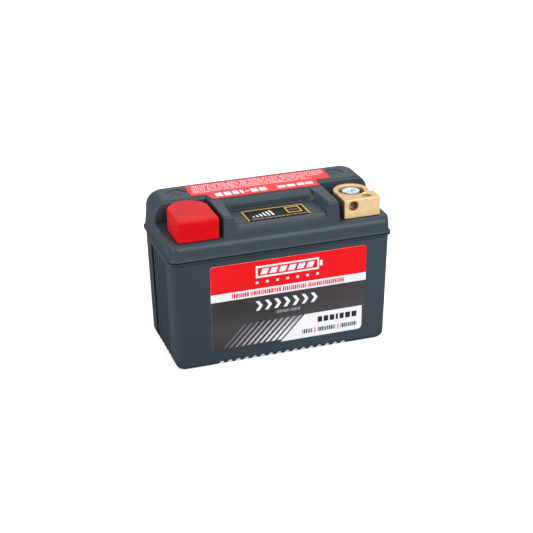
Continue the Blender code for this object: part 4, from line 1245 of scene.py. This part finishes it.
def slant_ink():
    """White that fades to the ground colour towards the left and the top."""
    made = Finish("slant_ink", Specular_IOR_Level=0.22)
    share = made.node("ShaderNodeMath", operation="MULTIPLY")
    made.feed(share.inputs[0], made.along("X", -0.040, 0.002))
    made.feed(share.inputs[1], made.along("Z", 0.030, 0.014))
    made.colour(made.mix(share.outputs[0], linear(64, 60, 64), linear(236, 238, 244)))
    made.film(0.32, 0.42)
    return made.material


def front_label_slants():
    """Slanted stripes left of the panel, thinner and fainter towards the left."""
    low, high = 11.0, 25.0
    outlines = []
    for stripe in range(10):
        x = -3.1 - 3.75 * stripe
        half = 1.2 - 0.08 * stripe
        outlines += bars([(x - half, x + half)], low, high, SLANT * (high - low))
    levels = (LAYER_1, LAYER_2)
    print_piece(on_front, "front_slanted_stripes", outlines, levels, "black_print", slant_ink())


def make_top_label():
    """The red film on the plateau, with rows of fine marks and a bold row at the front."""
    film_top = cad_box[1].z / MM - 2 * PRINT_T
    outline = [(-31.8, 1.0), (34.0, 1.0), (34.6, 9.7), (44.2, 10.4)]
    outline += [(45.4, 26.2), (-42.0, 26.2), (-42.0, 9.9), (-33.2, 9.2)]
    levels = (LID_TOP + FILM_LOW, film_top)
    print_piece(on_top, "top_film", [outline], levels, "red_print", None, "top_label")
    marks = bars(ticks(-38.6, -18.0, [5, 3], 0.5), 23.7, 24.7)
    long_line = [6, 4, 9, 3, 7, 5, 8, 4, 6]
    for x0, x1, y, groups in (
        (-16.0, 43.4, 23.8, long_line),
        (-38.8, 43.2, 21.7, long_line),
        (-39.2, 43.0, 19.6, long_line),
        (-39.4, 40.0, 17.5, long_line),
        (-39.6, 30.0, 15.4, [4, 7, 3, 8, 5, 6]),
        (-39.8, 33.6, 13.3, [7, 5, 4, 9, 3]),
    ):
        marks += bars(ticks(x0, x1, groups, 0.5), y, y + 0.85)
    big = block_row(-28.6, 2.6, [1.2, 1.2, 1.0, 0.5, 0.7, 1.2, 1.2], 1.1)
    dash = 4
    for number, span in enumerate(big):
        marks += bars([span], *((5.8, 7.0) if number == dash else (3.9, 9.3)))
    marks += bars(block_row(9.6, 20.4, [1.0, 1.0], 0.8), 4.4, 8.2)
    marks += bars(block_row(21.8, 31.6, [1.0, 1.0], 0.8), 4.6, 8.4)
    levels = (film_top, film_top + PRINT_T)
    print_piece(on_top, "top_white_marks", marks, levels, "red_print", ink["white"])


def make_indicator_label():
    """The overlay in the tray: gold frame, six rising bars and fine marks along its front."""
    node_low, node_high = node_box("indicator_label")
    x0, x1, y0, y1 = node_low.x, node_high.x, node_low.y, node_high.y
    top = node_high.z
    overlay = draw("overlay_film", add_box, x0, x1, y0, y1, node_low.z, top)
    carve(overlay, add_box, *around(BUTTON_CENTRE, BUTTON_HOLE_HALF), top - 1.0, top + 1.0)
    place(overlay, "black_print", "housing", "indicator_label")
    levels = (top, top + PRINT_T)
    gold = frame_bars(x0, x1, y0, y1, 0.8, "lrt")
    print_piece(on_top, "overlay_gold_frame", gold, levels, "black_print", ink["gold"])
    marks = []
    low = y0 + 4.6
    for number, span in enumerate(block_row(-14.8, -1.8, [1.0] * 6, 1.2)):
        rise = 1.4 + 1.2 * number
        marks += bars([span], low, low + rise, -0.08 * rise)
    print_piece(on_top, "overlay_white_bars", marks, levels, "black_print", ink["white"])
    fine = bars(ticks(x0 + 2.4, x1 - 1.6, [7, 4, 6, 3, 8], 0.4), y0 + 0.9, y0 + 2.5)
    print_piece(on_top, "overlay_brown_marks", fine, levels, "black_print", ink["brown"])


def make_button():
    """The square key with its gold border and a small printed mark."""
    low, high = node_box("test_button")
    top = high.z - PRINT_T
    flange = 11.0
    flange_top = TRAY_FLOOR - LID_WALL - 0.3
    sections = [(flange, low.z), (flange, flange_top), (BUTTON_SIZE, flange_top)]
    sections += [(BUTTON_SIZE - 2 * inset, z) for z, inset in over_edge(top, BUTTON_EDGE, 4)]
    rings = []
    for size, z in sections:
        rings.append(at_height(rounded_box(*around(BUTTON_CENTRE, size / 2), 0.5, steps=4), z))
    place(draw("button_key", add_loft, rings), "black_print", "button", "test_button")
    x, y = BUTTON_CENTRE
    border = frame_bars(*around(BUTTON_CENTRE, BUTTON_SIZE / 2 - BUTTON_EDGE - 0.02), 0.85)
    mark = bars(block_row(x - 2.2, x + 2.2, [1.0] * 4, 0.6), y - 0.6, y + 0.5)
    for name, outlines, look in (
        ("button_gold_border", border, ink["gold"]),
        ("button_grey_mark", mark, ink["grey"]),
    ):
        print_piece(on_top, name, outlines, (top, high.z), "black_print", look, body="button")


# ---- stage


def seen_and_thrown(tree, seen, thrown):
    """A value the camera sees, and another for the light that falls on the object."""
    path = tree.nodes.new("ShaderNodeLightPath")
    choice = tree.nodes.new("ShaderNodeMapRange")
    choice.inputs["To Min"].default_value = thrown
    choice.inputs["To Max"].default_value = seen
    tree.links.new(path.outputs["Is Camera Ray"], choice.inputs["Value"])
    return choice.outputs[0]


def make_stage():
    """A pale floor in a white room, which throws only part of its light back on the object."""
    bm = bmesh.new()
    reach = 4000.0
    corners = ((-reach, -reach), (reach, -reach), (reach, reach), (-reach, reach))
    bm.faces.new([bm.verts.new((x, y, -0.05)) for x, y in corners])
    floor = link("floor", bm)
    made = Finish("floor", Specular_IOR_Level=0.0)
    pale = made.mix(made.noise(60.0, 3.0), linear(248, 248, 248), linear(253, 253, 253))
    albedo = seen_and_thrown(made.tree, 1.0, 0.36)
    made.colour(made.mix(albedo, (0.0, 0.0, 0.0, 1.0), pale))
    made.shader.inputs["Emission Color"].default_value = (1.0, 1.0, 1.0, 1.0)
    glow = seen_and_thrown(made.tree, 0.55, 0.0)
    made.feed(made.shader.inputs["Emission Strength"], glow)
    made.roughness(made.noise(8.0, 3.0), 0.75, 0.9)
    floor.data.materials.append(made.material)

    world = bpy.data.worlds.new("studio")
    world.use_nodes = True
    background = world.node_tree.nodes["Background"]
    background.inputs["Color"].default_value = (1.0, 1.0, 1.0, 1.0)
    strength = seen_and_thrown(world.node_tree, 1.1, 0.42)
    world.node_tree.links.new(strength, background.inputs["Strength"])
    bpy.context.scene.world = world


def add_light(name, position, size, power):
    """A square soft box that faces the object."""
    light = bpy.data.lights.new(name, "AREA")
    light.shape = "SQUARE"
    light.size = size
    light.energy = power
    obj = bpy.data.objects.new(name, light)
    obj.location = position
    target = Vector((0.0, 0.0, 0.05))
    obj.rotation_euler = (target - Vector(position)).to_track_quat("-Z", "Y").to_euler()
    bpy.context.scene.collection.objects.link(obj)


def make_lights():
    add_light("key_softbox", (0.48, -1.04, 0.97), 0.8, 21.0)
    add_light("rear_softbox", (0.40, 1.20, 0.80), 0.9, 2.6)
    add_light("left_softbox", (-1.33, -0.21, 0.44), 0.7, 13.0)


def make_camera():
    azimuth, elevation, roll = -0.32198, 0.42230, -0.013479
    focal_share = 1340.78 / 533.0  # focal length as a share of the image's width
    turn = Matrix.Rotation(azimuth, 4, "Z")
    turn @= Matrix.Rotation(math.pi / 2 - elevation, 4, "X")
    turn @= Matrix.Rotation(roll, 4, "Z")
    data = bpy.data.cameras.new("camera")
    data.sensor_width = 36.0
    data.lens = data.sensor_width * focal_share
    camera = bpy.data.objects.new("camera", data)
    camera.matrix_world = Matrix.Translation((-0.230827, -0.691763, 0.372446)) @ turn
    bpy.context.scene.collection.objects.link(camera)
    bpy.context.scene.camera = camera


dress_cad_nodes()
make_case()
make_lid()
make_terminals()
front_label_fields()
front_label_marks()
front_label_slants()
make_top_label()
make_indicator_label()
make_button()
make_stage()
make_lights()
make_camera()
bpy.context.scene.view_settings.view_transform = "Standard"
